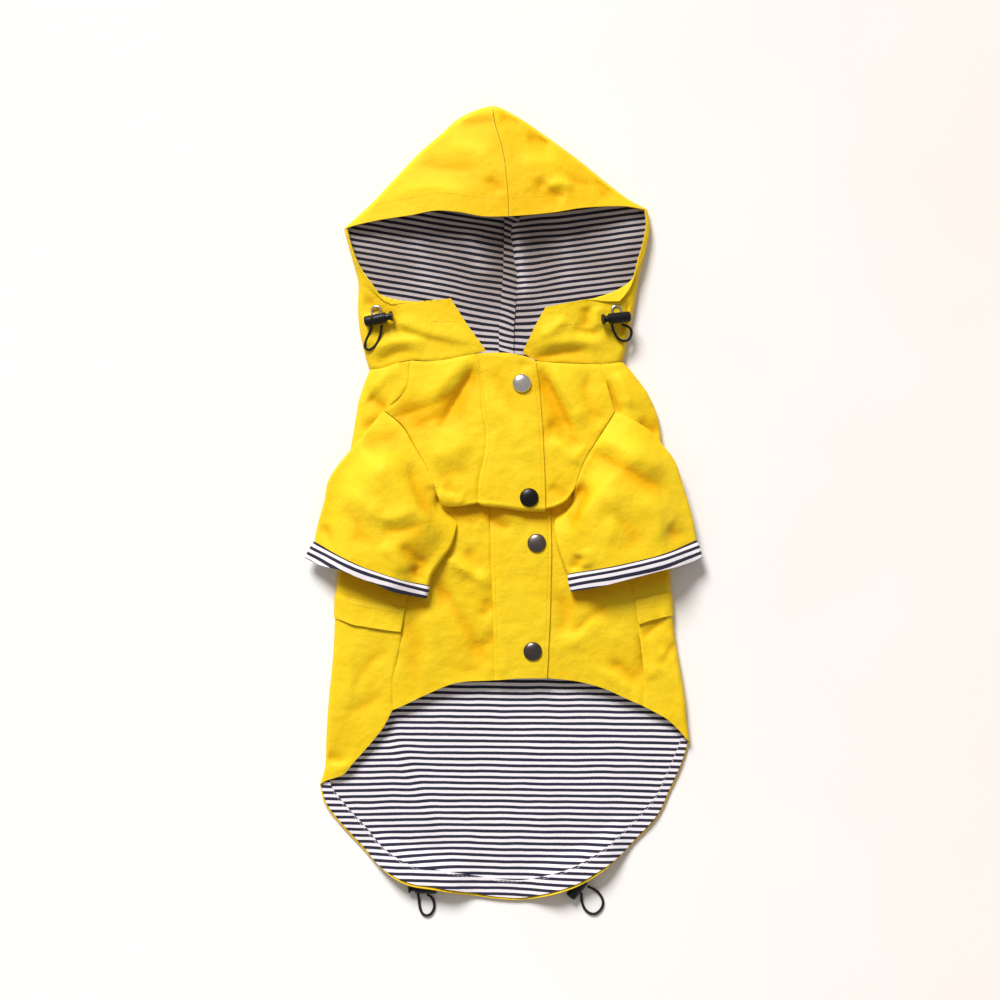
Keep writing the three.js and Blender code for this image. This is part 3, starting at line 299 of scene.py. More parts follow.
def curve(table):
    """A smooth line through the rows of a table, run at even speed as t goes from 0 to 1."""
    knots = np.array(table, float)
    knots = np.vstack([2 * knots[0] - knots[1], knots, 2 * knots[-1] - knots[-2]])
    spans = np.sqrt(np.linalg.norm(np.diff(knots, axis=0), axis=1))
    s = np.linspace(0, 1, 24, endpoint=False)[:, None]
    points = []
    for k in range(1, len(knots) - 2):
        p0, p1, p2, p3 = knots[k - 1:k + 3]
        a, b, c = spans[k - 1:k + 2]
        leave = ((p1 - p0) / a - (p2 - p0) / (a + b) + (p2 - p1) / b) * b
        arrive = ((p2 - p1) / b - (p3 - p1) / (b + c) + (p3 - p2) / c) * b
        points.append(p1 + leave * s + (3 * (p2 - p1) - 2 * leave - arrive) * s ** 2
                      + (2 * (p1 - p2) + leave + arrive) * s ** 3)
    points = np.vstack([*points, knots[-2:-1]])
    length = np.concatenate([[0], np.cumsum(np.linalg.norm(np.diff(points, axis=0), axis=1))])
    length /= length[-1]
    return lambda t: np.stack([np.interp(t, length, points[:, axis]) for axis in range(points.shape[1])], -1)


FINE = 9  # rows of the fine sheet to each row that a rail counts


def rail(*sections):
    """Where the rows of a sheet cross one of its long lines: each section is a table and its rows."""
    points = [np.array(sections[0][0][:1], float)]
    for along, rows in sections:
        points.append(curve(along)(np.arange(1, rows * FINE + 1) / (rows * FINE)))
    return np.vstack(points)


def patch(start, end, first, last, t):
    """Points between two rails at the fractions t of each row. The first and last rows bend like the two
    end curves, and the rows between them less and less."""
    v = np.linspace(0, 1, len(start))[:, None, None]
    across = t[..., None]
    upper = first(t) - mix(start[0], end[0], across)
    lower = last(t) - mix(start[-1], end[-1], across)
    return mix(start[:, None], end[:, None], across) + (1 - v) ** 2 * upper + v ** 2 * lower


def look_up(table, x):
    return np.interp(x, [row[0] for row in table], [row[1] for row in table])


def fold_radius(y):
    return mix(CORNER_RADIUS, FOLD_RADIUS, smooth((y + 190) / 50))


def side_fold(name):
    side = SIDES[name]
    parts = [side[key] for key in ("hood_fold", "body_fold", "body_fold_middle", "body_fold_lower",
                                   "body_fold_hem")]
    return sorted({(y, x) for part in parts for x, y in part})


SIDE_FOLD = {name: side_fold(name) for name in SIDES}


def rise(distance, y, ridge):
    """Height of the upper cloth at a distance from the side fold, under a ridge of the given height."""
    nose = FLOOR + 2 * fold_radius(y)
    s = np.clip(distance / SLOPE, 0, 1)
    return nose + (ridge - nose) * (1 - (1 - s) ** 2)


def body_top(x, y, ridge):
    left = x - look_up(SIDE_FOLD["left"], y)
    right = look_up(SIDE_FOLD["right"], y) - x
    return rise(np.maximum(0, np.minimum(left, right)), y, ridge)


def chest_top(x, y):
    return body_top(x, y, look_up(CHEST_HEIGHT, y))


def belly_top(x, y):
    return body_top(x, y, look_up(BELLY_HEIGHT, y))


def strip_top(x, y):
    """The strips of back panel on top sink from the chest's height at the shoulder to the belly's."""
    return body_top(x, y, mix(look_up(BELLY_HEIGHT, y), look_up(CHEST_HEIGHT, y), smooth((y + 12) / 70)))


def arc(d, r):
    return np.sqrt(np.maximum(0, r * r - (r - np.minimum(d, r)) ** 2))


def under_height(d, r):
    return FLOOR + r - arc(d, r)


def over_height(d, r, top):
    return FLOOR + r + arc(d, r) + (top - FLOOR - 2 * r) * np.clip(d / r, 0, 1)


TURN_STEPS = 5


def row_steps(length, radius, even):
    """Fractions along each row: small steps round the fold, then even steps to the far end."""
    turn = 1 - np.cos(np.linspace(0, math.pi / 2, TURN_STEPS + 1))
    steps = np.minimum(np.outer(radius / length, turn), np.linspace(0, 0.3, TURN_STEPS + 1))
    return np.hstack([steps, mix(steps[:, -1:], 1, np.arange(1, even + 1) / even)])


def lengths_of(a, b):
    return np.maximum(np.linalg.norm(b - a, axis=1), 1e-4)


PUCKER = 0.7  # how unevenly a seam pulls the cloth in
PUCKER_LENGTH = 3.2
PUCKER_SEED = 17


class Sheet:
    """Rows and columns of points on the middle of the cloth, with the way its outer face looks there, its
    place in the uncut cloth, and how far each point was creased up or down, less any painted shade laid on
    it."""

    def __init__(self, points, turn, cloth=None, fold=None):
        self.points = points
        self.turn = turn
        self.cloth = points[..., :2].copy() if cloth is None else cloth
        self.fold = np.zeros(points.shape[:2]) if fold is None else fold
        flat = np.round(points.reshape(-1, 3), 3)
        _, self.index = np.unique(flat, axis=0, return_inverse=True)
        self.index = self.index.reshape(points.shape[:2])
        one = points[1:, 1:] - points[:-1, :-1]
        two = points[1:, :-1] - points[:-1, 1:]
        face = np.cross(one, two) * turn
        face /= np.maximum(np.linalg.norm(face, axis=-1, keepdims=True), 1e-9)
        sums = np.zeros((self.index.max() + 1, 3))
        for rows, cols in ((slice(None, -1), slice(None, -1)), (slice(None, -1), slice(1, None)),
                           (slice(1, None), slice(1, None)), (slice(1, None), slice(None, -1))):
            np.add.at(sums, self.index[rows, cols].ravel(), face.reshape(-1, 3))
        sums /= np.maximum(np.linalg.norm(sums, axis=1, keepdims=True), 1e-9)
        self.normals = sums[self.index]

    def cut(self, rows, cols):
        rows = slice(rows[0], rows[1] + 1)
        cols = slice(cols[0], cols[1] + 1)
        return Sheet(self.points[rows, cols], self.turn, self.cloth[rows, cols], self.fold[rows, cols])

    def lifted(self, distance):
        """Moved out of the cloth's face by a distance, or in if negative."""
        distance = np.broadcast_to(distance, self.points.shape[:2])[..., None]
        return Sheet(self.points + self.normals * distance, self.turn, self.cloth, self.fold)

    def raised(self, height):
        """Moved up by a height at each point, along the cloth's face."""
        up = self.normals * np.where(self.normals[..., 2:] < 0, -1, 1)
        return Sheet(self.points + up * height[..., None], self.turn, self.cloth, self.fold + height)

    def held_back(self, *edges, by=0.2, drop=0.0):
        """The named edges stop short of their seams, and turn down into them."""
        points = self.points.copy()
        for edge in edges:
            side = {"first": (0, 1), "last": (-1, -2), "start": (0, 1), "end": (-1, -2)}[edge]
            if edge in ("first", "last"):
                line, inner, normal = points[side[0]], points[side[1]], self.normals[side[0]]
            else:
                line, inner, normal = points[:, side[0]], points[:, side[1]], self.normals[:, side[0]]
            step = inner - line
            length = np.maximum(np.linalg.norm(step, axis=-1, keepdims=True), 1e-6)
            place = line / PUCKER_LENGTH
            pucker = 1 + PUCKER * ripple(place[..., :1], place[..., 1:2], PUCKER_SEED)
            line += step * np.minimum(by / length, 0.5) - normal * drop * pucker
        return Sheet(points, self.turn, self.cloth, self.fold)


def ripple(x, y, seed):
    """Smooth uneven waves between -1 and 1, about one unit across."""
    table = np.random.default_rng(seed).uniform(-1, 1, (64, 64))
    i = np.floor(x).astype(int)
    j = np.floor(y).astype(int)
    u = smooth(x - i)
    v = smooth(y - j)
    corner = [table[(i + a) % 64, (j + b) % 64] for a in (0, 1) for b in (0, 1)]
    return mix(mix(corner[0], corner[1], v), mix(corner[2], corner[3], v), u)


def rumpled(sheet, height, length, width, angle, seed, where=None):
    """Faint random waves in the cloth, longer one way than the other."""
    x = sheet.points[..., 0]
    y = sheet.points[..., 1]
    c, s = math.cos(math.radians(angle)), math.sin(math.radians(angle))
    waves = ripple((c * x + s * y) / length, (c * y - s * x) / width, seed)
    finer = ripple((c * x + s * y) / length * 1.9, (c * y - s * x) / width * 1.7, seed + 1)
    waves = 0.8 * waves + 2.4 * np.clip(0.5 - np.abs(finer), 0, 1) ** 3
    amount = height * waves * np.clip(np.abs(sheet.normals[..., 2]) * 2 - 1, 0, 1)
    return sheet.raised(amount if where is None else amount * where)


CREASE_DEPTH = 1.45
CREASE_SPREAD = 0.74
CREST = 1.3  # how far from its line a crease is rounded


def creased(sheet, creases, where=None):
    """Each crease has a height, up or down, its width to the left and to the right of its line, and the
    line. It fades at both ends."""
    x = sheet.points[..., 0]
    y = sheet.points[..., 1]
    total = np.zeros(x.shape)
    for height, left, right, line in creases:
        s = np.linspace(0, 1, 60)
        path = curve(line)(s)
        along = np.gradient(path, axis=0)
        along /= np.linalg.norm(along, axis=1, keepdims=True)
        reach = 3 * max(left, right)
        low, high = path.min(0) - reach, path.max(0) + reach
        near = (x > low[0]) & (x < high[0]) & (y > low[1]) & (y < high[1])
        spot = np.stack([x[near], y[near]], -1)
        if not len(spot):
            continue
        offset = spot[:, None] - path[None]
        distance = np.linalg.norm(offset, axis=2)
        k = distance.argmin(1)
        away = offset[np.arange(len(k)), k]
        side = along[k, 0] * away[:, 1] - along[k, 1] * away[:, 0]
        width = np.where(side > 0, left, right) * CREASE_SPREAD
        fade = smooth(0.15 + 3.2 * np.minimum(s[k], 1 - s[k]))
        rounded = np.hypot(distance.min(1), CREST) - CREST
        total[near] += height * fade * np.exp(-(rounded / width) ** 1.1) * CREASE_DEPTH
    total = total * np.clip(np.abs(sheet.normals[..., 2]) * 2 - 0.4, 0, 1)
    return sheet.raised(total if where is None else total * where)


def wall(name, sheet, material, thickness=WALL, keep=None):
    """A closed wall of cloth: both faces of the sheet, and a strip round every free edge."""
    rows, cols = sheet.index.shape
    grid = np.arange(rows * cols).reshape(rows, cols)
    quads = np.stack([grid[:-1, :-1], grid[:-1, 1:], grid[1:, 1:], grid[1:, :-1]], -1).reshape(-1, 4)
    if sheet.turn < 0:
        quads = quads[:, ::-1]
    index = sheet.index.ravel()
    count = index.max() + 1
    middle = np.zeros((count, 3))
    normals = np.zeros((count, 3))
    fold = np.zeros(count)
    middle[index] = sheet.points.reshape(-1, 3)
    normals[index] = sheet.normals.reshape(-1, 3)
    fold[index] = sheet.fold.ravel()
    faces = []
    corners = []
    for quad in quads.tolist():
        ring = [q for k, q in enumerate(quad) if index[q] != index[quad[k - 1]]]
        if len({index[q] for q in ring}) == len(ring) > 2:
            faces.append([int(index[q]) for q in ring])
            corners.append(ring)
    border = {}
    for face, ring in zip(faces, corners):
        for k, vertex in enumerate(face):
            pair = (face[k - 1], vertex)
            if border.pop((vertex, face[k - 1]), None) is None:
                border[pair] = (ring[k - 1], ring[k])
    polygons = list(faces)
    places = list(corners)
    for face, ring in zip(faces, corners):
        polygons.append([count + v for v in reversed(face)])
        places.append(ring[::-1])
    for (a, b), (p, q) in border.items():
        polygons.append([b, a, count + a, count + b])
        places.append([q, p, p, q])
    spots = np.vstack([middle + normals * thickness / 2, middle - normals * thickness / 2])
    if keep:
        spots = keep(spots)
    mesh = bpy.data.meshes.new(name)
    mesh.from_pydata((spots * MM).tolist(), [], polygons)
    layer = mesh.uv_layers.new(name="cloth")
    where = sheet.cloth.reshape(-1, 2)[np.concatenate(places)] * MM
    layer.data.foreach_set("uv", where.ravel())
    # The fold attribute holds each point's crease height less any painted shade; the materials paint shade
    # from it.
    mesh.attributes.new("fold", "FLOAT", "POINT").data.foreach_set("value", np.concatenate([fold, fold]))
    mesh.materials.append(material)
    mesh.polygons.foreach_set("use_smooth", [True] * len(mesh.polygons))
    mesh.set_sharp_from_angle(angle=math.radians(50))
    piece = bpy.data.objects.new(name, mesh)
    bpy.context.scene.collection.objects.link(piece)
    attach(piece, "root")
    return piece


def proofed_cotton():
    """Plain weave under a thin matt proofing: faintly mottled, with painted shade, a deeper orange, wherever
    the fold attribute runs low: in the hollows of the folds and where shade is laid on by position.
    """
    material, shader, add, into = new_material("proofed_cotton")
    place = add("TexCoord").outputs["Object"]
    cloth = add("UVMap", uv_map="cloth").outputs[0]
    cloud = add("TexNoise", {"Vector": place, "Scale": 28.0, "Detail": 4.0, "Roughness": 0.55})
    grain = add("TexNoise", {"Vector": place, "Scale": 900.0, "Detail": 4.0, "Roughness": 0.7})
    crumple = add("TexNoise", {"Vector": place, "Scale": 130.0, "Detail": 3.0, "Roughness": 0.5})
    fold = add("Attribute", attribute_name="fold").outputs["Fac"]
    # Painted shade: where the fold attribute runs low, the base colour is mixed towards a deep orange.
    painted_shade_mix = add("MapRange", {0: fold, 1: -2.6, 2: 0.1})
    patchy = add("MapRange", {0: cloud.outputs[0], 1: 0.35, 2: 0.65})
    base = add("Mix", {0: patchy.outputs[0], 6: (0.765, 0.508, 0.008, 1), 7: (0.79, 0.550, 0.014, 1)},
               data_type="RGBA")
    shaded_cotton = add("Mix", {0: painted_shade_mix.outputs[0], 6: (0.74, 0.385, 0.001, 1), 7: base.outputs[2]},
               data_type="RGBA")
    speck = add("MapRange", {0: grain.outputs[0], 1: 0.3, 2: 0.7, 3: 0.95, 4: 1.04})
    tone = add("VectorMath", {0: shaded_cotton.outputs[2], 3: speck.outputs[0]}, operation="SCALE")
    thread = add("VectorMath", {0: cloth, 3: 2 * math.pi / 0.0006}, operation="SCALE")
    split = add("SeparateXYZ", {0: thread.outputs[0]})
    warp = add("Math", {0: split.outputs[0]}, operation="SINE")
    weft = add("Math", {0: split.outputs[1]}, operation="SINE")
    weave = add("Math", {0: warp.outputs[0], 1: weft.outputs[0]}, operation="MULTIPLY")
    rough = add("Math", {0: grain.outputs[0], 1: weave.outputs[0]}, operation="ADD")
    fine = add("Bump", {"Height": rough.outputs[0], "Distance": 0.00005, "Strength": 0.5})
    bump = add("Bump", {"Height": crumple.outputs[0], "Distance": 0.0020, "Strength": 0.42,
                        "Normal": fine.outputs[0]})
    gloss = add("MapRange", {0: grain.outputs[0], 1: 0.3, 2: 0.7, 3: 0.48, 4: 0.62})
    into("Base Color", tone.outputs[0])
    into("Roughness", gloss.outputs[0])
    into("Normal", bump.outputs[0])
    shader.inputs["Specular IOR Level"].default_value = 0.3
    shader.inputs["Specular Tint"].default_value = (1, 0.86, 0.40, 1)
    shader.inputs["Sheen Weight"].default_value = 0.05
    shader.inputs["Sheen Roughness"].default_value = 0.4
    shader.inputs["Sheen Tint"].default_value = (1, 0.9, 0.55, 1)
    return material


YELLOW = proofed_cotton()
BACK_ROWS = {"shoulder": 2, "armhole": 4, "side": 2, "flap": 1, "hem": 5}
FLAP_ROW = FINE * (BACK_ROWS["shoulder"] + BACK_ROWS["armhole"] + BACK_ROWS["side"])
STRIP_STEPS = 24
UNDER_STEPS = 84
STRIP_COLS = TURN_STEPS + 1 + STRIP_STEPS
HEM_LIFT = {"at": (-55, 51), "height": 8.3, "level": 14, "reach": 38}
HEM_ROLL = 1.7  # the shell's edge turns up against the lining
HEM_SHARE = [(0, 1), (13.5, 0.75), (24, 0)]  # distance from the hem, and share of the lift


def back_rails(side):
    seam = rail((side["shoulder"], BACK_ROWS["shoulder"]), (side["back_armhole"], BACK_ROWS["armhole"]),
                (side["side_seam"], BACK_ROWS["side"]),
                ([side["side_seam"][-1], side["seam_hem"][0]], BACK_ROWS["flap"]),
                (side["seam_hem"], BACK_ROWS["hem"]))
    fold = rail((side["body_fold"], BACK_ROWS["shoulder"]), (side["body_fold_middle"], BACK_ROWS["armhole"]),
                (side["body_fold_lower"], BACK_ROWS["side"]),
                ([side["body_fold_lower"][-1], side["body_fold_hem"][0]], BACK_ROWS["flap"]),
                (side["body_fold_hem"], BACK_ROWS["hem"]))
    return seam, fold


def back_strip(side):
    """The strip of back panel that lies on top, from the side fold in to the seam."""
    seam, fold = back_rails(side)
    shoulder = [p[0] for p in side["neck"]].index(side["shoulder"][0][0])
    length = lengths_of(fold, seam)
    radius = fold_radius(fold[:, 1])
    t = row_steps(length, radius, STRIP_STEPS)
    flat = patch(fold, seam, curve(side["neck"][:shoulder + 1]), curve(side["belly_hem"][::-1]), t)
    x, y = flat[..., 0], flat[..., 1]
    z = over_height(t * length[:, None], radius[:, None], strip_top(x, y))
    return np.dstack([x, y, z])


def back_under():
    left, right = (back_rails(SIDES[name])[1] for name in ("left", "right"))
    neck = SIDES["left"]["neck_under"][::-1] + SIDES["right"]["neck_under"][1:]
    length = lengths_of(left, right)
    ends = [fold_radius(fold[:, 1]) for fold in (left, right)]
    near = row_steps(length, ends[0], UNDER_STEPS)[:, 1:-1]
    far = 1 - row_steps(length, ends[1], 1)[:, TURN_STEPS:0:-1]
    near = near[:, near.max(0) < far.min()]
    t = np.hstack([near, far])
    flat = patch(left, right, curve(neck), curve(BACK_HEM), t)
    radius = np.where(t < 0.5, ends[0][:, None], ends[1][:, None])
    z = under_height(np.minimum(t, 1 - t) * length[:, None], radius)
    return np.dstack([flat, z])


under = back_under()
points = np.concatenate([back_strip(SIDES["left"])[:, ::-1], under, back_strip(SIDES["right"])], axis=1)
steps = np.linalg.norm(np.diff(points[::-1], axis=0), axis=2)
from_hem = np.vstack([np.zeros(points.shape[1]), np.cumsum(steps, axis=0)])[::-1]
nearest = np.min([np.abs(points[..., 0] - x) for x in HEM_LIFT["at"]], axis=0)
lift = smooth((HEM_LIFT["reach"] - nearest) / (HEM_LIFT["reach"] - HEM_LIFT["level"]))
lift[:, :STRIP_COLS] = 0
lift[:, -STRIP_COLS:] = 0
points[..., 2] += HEM_LIFT["height"] * lift * look_up(HEM_SHARE, from_hem)
points[-1, STRIP_COLS:-STRIP_COLS, 2] += HEM_ROLL
back = Sheet(points, 1)
on_top = np.zeros(points.shape[:2])
on_top[:, :STRIP_COLS] = 1
on_top[:, -STRIP_COLS:] = 1

def painted_shade_under_cuffs(x, y):
    """How much painted shade a spot gets in the gap under a cuff, where yellow cloth only lights yellow
    cloth.
    """
    depth = np.zeros_like(x)
    for side in SIDES.values():
        line = sorted(side["cuff_bottom"])
        edge = np.interp(x, [p[0] for p in line], [p[1] for p in line])
        beside = (x > line[0][0]) & (x < line[-1][0])
        depth += beside * smooth((y - edge + 15) / 11) * smooth((20 - y) / 20)
    return depth


# Creases where the side strips pull at the shoulder, at the pockets and at the corners of the hem.
BACK_CREASES = [
    (-2.2, 5, 4, [(-93, 73), (-84, 66), (-79, 63)]),
    (1.2, 5, 6, [(-91, 75), (-80, 86), (-71, 94)]),
    (-1.6, 4, 7, [(-97, 50), (-86, 56), (-78, 60)]),
    (-2.4, 4, 7, [(68, 84), (73, 72), (80, 58)]),
    (1.6, 6, 5, [(76, 90), (82, 76), (86, 62)]),
    (-1.8, 5, 4, [(90, 54), (99, 50), (107, 48)]),
    (-1.2, 6, 3, [(94, -92), (101, -86), (109, -79)]),
    (-1.4, 3, 6, [(104, -112), (111, -103), (117, -94)]),
    (1.0, 6, 4, [(97, -120), (106, -110), (112, -98)]),
    (-1.4, 4, 2.5, [(-121, -171), (-115, -174), (-108, -176)]),
    (1.2, 3, 5, [(-119, -177), (-111, -180), (-100, -174)]),
    (-0.9, 6, 6, [(-74, -98), (-90, -108), (-104, -128)]),
    (-0.8, 5, 7, [(-80, -128), (-94, -138), (-112, -142)]),
    (0.8, 8, 6, [(-108, -90), (-104, -120), (-112, -150)]),
]
# Painted shade in the gaps under the cuffs, laid on the side strips' fold attribute.
back.fold = back.fold - 2.6 * on_top * painted_shade_under_cuffs(back.points[..., 0], back.points[..., 1])
back = rumpled(creased(back, BACK_CREASES, on_top), 0.45, 26, 14, 60, 3, on_top)
back_panel = wall("back_panel_cloth", back.held_back("start", "end", "first", by=0.15, drop=0.5), YELLOW)
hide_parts("back_panel")

# ---------------------------------------------------------------- fronts and placket
# Two fronts and the doubled placket that covers their opening, all yellow cotton. Below the studs at the
# chest they are doubled under themselves in a pleat, which the armholes pull in at both ends.
PLEAT_OUTER = 1.1
PLACKET = {
    "seam_chest": [(-19, 101.7), (-17, 95), (-16, 69), (-12.4, 42), (-17.5, 14), (-18, 0.3)],
    "edge_chest": [(21.4, 96.6), (23.4, 77), (25, 60), (27, 30), (27.9, -3.6)],
    "seam_belly": [(-12, 12), (-10, -1), (-9, -40), (-8, -78), (-7, -120)],
    "edge_belly": [(30, 8.4), (31.5, -9), (32, -28), (31, -78), (29, -118.4)],
    "top": [(-19, 101.7), (-3, 102.2), (6, 101.6), (15, 99.6), (21.4, 96.6)],
    "hem": [(-7, -120), (10, -118.6), (29, -118.4)],
}
FRONT_ROWS = {"shoulder": 2, "armhole": 5, "belly": 7}


def front_column_tables():
    """Each band between two rails: its rails above and below the pleat, the curves of its ends, and the
    fractions where its columns stand."""
    left, right = SIDES["left"], SIDES["right"]
    chest_rows = FRONT_ROWS["shoulder"] + FRONT_ROWS["armhole"]
    rails = {
        "left": [rail((left["shoulder"], 2), (left["armhole"], 5)),
                 rail((left["underarm"], 2), (left["side_seam"], 2),
                      ([left["side_seam"][-1], *left["seam_hem"]], 3))],
        "seam": [rail((PLACKET["seam_chest"], chest_rows)), rail((PLACKET["seam_belly"], 7))],
        "edge": [rail((PLACKET["edge_chest"], chest_rows)), rail((PLACKET["edge_belly"], 7))],
        "right": [rail((right["shoulder"], 2), (right["armhole"], 5)),
                  rail((right["underarm"], 2), (right["side_seam"], 2),
                       ([right["side_seam"][-1], *right["seam_hem"]], 3))],
    }
    shoulder = [[p[0] for p in side["neck"]].index(side["shoulder"][0][0]) for side in (left, right)]
    return [
        (rails["left"], rails["seam"], np.linspace(0, 1, 27),
         [*left["neck"][shoulder[0]:-1], PLACKET["seam_chest"][0]],
         [(-46, 10.5), (-44, 3.5), (-40.5, -1), (-31, -1.6), (-18, 0.3)],
         [left["underarm"][0], (-30, 13), PLACKET["seam_belly"][0]], left["front_hem"]),
        (rails["seam"], rails["edge"], np.linspace(0, 1, 19)[1:],
         PLACKET["top"], [(-18, 0.3), (0, -1.4), (12, -3.2), (27.9, -3.6)],
         [PLACKET["seam_belly"][0], (10, 11), PLACKET["edge_belly"][0]], PLACKET["hem"]),
        (rails["edge"], rails["right"], np.linspace(0, 1, 27)[1:],
         [(21.4, 96.6), (37, 95.2), (52, 94.7), (66, 94.6)],
         [(27.9, -3.6), (35, -1.6), (41, 1.5), (48, 10.5)],
         [PLACKET["edge_belly"][0], (40, 12), right["underarm"][0]], right["front_hem"][::-1]),
    ]


chest_parts, belly_parts = [], []
for start, end, t, neck, edge, inner, hem in front_column_tables():
    t = np.broadcast_to(t, (len(start[0]), len(t)))
    chest_parts.append(patch(start[0], end[0], curve(neck), curve(edge), t))
    belly_parts.append(patch(start[1], end[1], curve(inner), curve(hem), t))
chest = np.concatenate(chest_parts, axis=1)
belly = np.concatenate(belly_parts, axis=1)


def unit(v):
    return v / np.maximum(np.linalg.norm(v, axis=-1, keepdims=True), 1e-9)


down = unit(chest[-1] - chest[-1 - FINE])
inward = unit(belly[FINE] - belly[0])
fold_top = chest_top(chest[-1, :, 0], chest[-1, :, 1])
lower = (fold_top - belly_top(belly[0, :, 0], belly[0, :, 1])) / 2 - PLEAT_OUTER
rows = [np.dstack([chest[:-1], chest_top(chest[:-1, :, 0], chest[:-1, :, 1])])]
turns = np.radians(np.linspace(0, 180, 9))
for turn in turns:
    spot = chest[-1] - down * PLEAT_OUTER * (1 - math.sin(turn))
    rows.append(np.column_stack([spot, fold_top - PLEAT_OUTER * (1 - math.cos(turn))])[None])
inside_top = rows[-1]
spot = belly[0] + inward * lower[:, None]
inside_end = np.column_stack([spot, fold_top - 2 * PLEAT_OUTER])[None]
rows += [mix(inside_top, inside_end, share) for share in (0.3, 0.65)]
for turn in turns:
    spot = belly[0] + inward * lower[:, None] * (1 - math.sin(turn))
    rows.append(np.column_stack([spot, fold_top - 2 * PLEAT_OUTER - lower * (1 - math.cos(turn))])[None])
first_belly = 3
rows.append(np.dstack([belly[first_belly:], belly_top(belly[first_belly:, :, 0], belly[first_belly:, :, 1])]))
points = np.concatenate(rows)
chest_rows = len(chest) - 1
on_chest = (np.arange(len(points)) < chest_rows)[:, None] * np.ones(points.shape[1])
below_pleat = np.arange(len(points)) >= len(points) - len(belly) + first_belly
on_belly = below_pleat[:, None] * np.ones(points.shape[1])
front = Sheet(points, -1)

# The armholes, the studs and the neck pull the chest into these creases.
CHEST_CREASES = [
    (-4.2, 9, 4, [(-19, 95), (-25, 84), (-35, 66), (-44, 49)]),
    (1.8, 12, 9, [(-22, 99), (-38, 84), (-50, 66), (-58, 52)]),
    (-2.6, 8, 14, [(-80, 57), (-66, 61), (-48, 67), (-30, 78)]),
    (-1.4, 9, 7, [(-64, 48), (-52, 56), (-40, 60)]),
    (1.6, 10, 14, [(-52, 30), (-40, 34), (-22, 40)]),
    (-1.2, 9, 9, [(-46, 14), (-36, 20), (-20, 22)]),
    (1.4, 6, 5, [(-45, 9), (-38, 5), (-26, 6)]),
    (-1.5, 4, 4, [(-42, 11), (-34, 7), (-28, 4)]),
    (-4.0, 4, 9, [(24, 92), (32, 76), (43, 53), (47, 44)]),
    (2.0, 9, 7, [(30, 94), (40, 76), (50, 60), (54, 50)]),
    (-1.8, 5, 8, [(28, 57), (38, 48), (54, 37)]),
    (1.2, 6, 6, [(30, 44), (42, 34), (52, 26)]),
    (-1.6, 5, 6, [(60, 90), (56, 78), (58, 64), (68, 54)]),
    (-1.3, 5, 4, [(30, 12), (38, 6), (43, 2)]),
    (-0.9, 4, 6, [(-5, 94), (-2, 82), (4, 68), (11, 53)]),
    (-0.8, 5, 3, [(9, 94), (14, 93.5), (19, 95)]),
    (0.9, 5, 5, [(-14, 70), (-2, 62), (12, 40), (20, 22)]),
]
BELLY_CREASES = [
    (2.8, 5, 4, [(-42, -35), (-30, -43), (-20, -49), (-8, -56)]),
    (-2.6, 4, 7, [(-49, -47), (-36, -68), (-22, -92), (-9, -111)]),
    (1.4, 7, 5, [(-40, -62), (-30, -84), (-20, -100)]),
    (-1.6, 6, 6, [(-26, -28), (-20, -44), (-17, -58)]),
    (-1.5, 3, 4, [(-16, -66), (-10, -70), (-16, -78)]),
    (-1.2, 3, 3, [(-13, -88), (-8, -92), (-16, -98)]),
    (-1.6, 4, 3, [(-8, -6), (-4, -14), (5, -18)]),
    (1.0, 4, 4, [(-2, -4), (6, -10), (14, -10)]),
    (-1.8, 7, 4, [(72, -66), (60, -77), (45, -90)]),
    (1.4, 6, 7, [(66, -72), (54, -88), (40, -100)]),
    (-1.6, 4, 5, [(70, -105), (80, -113), (93, -124)]),
    (1.2, 5, 4, [(64, -112), (76, -120), (86, -128)]),
    (-1.2, 3, 4, [(92, -86), (94, -102), (92, -120)]),
    (-1.3, 5, 5, [(34, -60), (42, -72), (38, -92)]),
    (-0.9, 7, 6, [(-70, -78), (-60, -96), (-62, -120)]),
    (0.8, 8, 7, [(-52, -70), (-48, -96), (-50, -118)]),
    (-0.7, 5, 5, [(-44, -110), (-30, -112), (-14, -116)]),
]
front = creased(front, CHEST_CREASES, on_chest)
front = creased(front, BELLY_CREASES, on_belly)
x, y = front.points[..., 0], front.points[..., 1]
# Painted shade on the belly just below the chest's pleat and in the gaps under the cuffs, laid on the fold
# attribute.
front.fold = front.fold - on_belly * (3.2 * smooth((y + 17) / 13) * smooth((46 - np.abs(x - 3)) / 10)
                                      + 2.6 * painted_shade_under_cuffs(x, y))
front = rumpled(front, 0.55, 34, 13, -52, 11, on_chest + on_belly)
front = rumpled(front, 0.22, 11, 5, 35, 14, on_chest + on_belly)
SEAM_COL = 26
UNDERLAP_COL = SEAM_COL + 11
EDGE_COL = SEAM_COL + 18
last_row = points.shape[0] - 1
left_sheet = front.cut((0, last_row), (0, SEAM_COL)).held_back("start", by=0.15, drop=0.5)
left_sheet = left_sheet.held_back("end", "first", by=0.1, drop=0.5)
front_left = wall("front_left_cloth", left_sheet, YELLOW)
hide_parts("front_left")
right_sheet = front.cut((0, last_row), (UNDERLAP_COL, points.shape[1] - 1))
right_sheet = right_sheet.held_back("end", by=0.15, drop=0.5)
front_right = wall("front_right_cloth", right_sheet.held_back("first", drop=0.5), YELLOW)
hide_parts("front_right")
placket_cut = front.cut((0, last_row), (SEAM_COL, EDGE_COL))
placket_lift = NEST * smooth(np.arange(EDGE_COL - SEAM_COL + 1) / 2)
placket_sheet = placket_cut.lifted(placket_lift).held_back("start", "first", drop=0.4)
placket = wall("placket_cloth", placket_sheet, YELLOW)
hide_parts("placket")
STITCH = {"length": 2.3, "gap": 0.8, "width": 0.34, "height": 0.22}


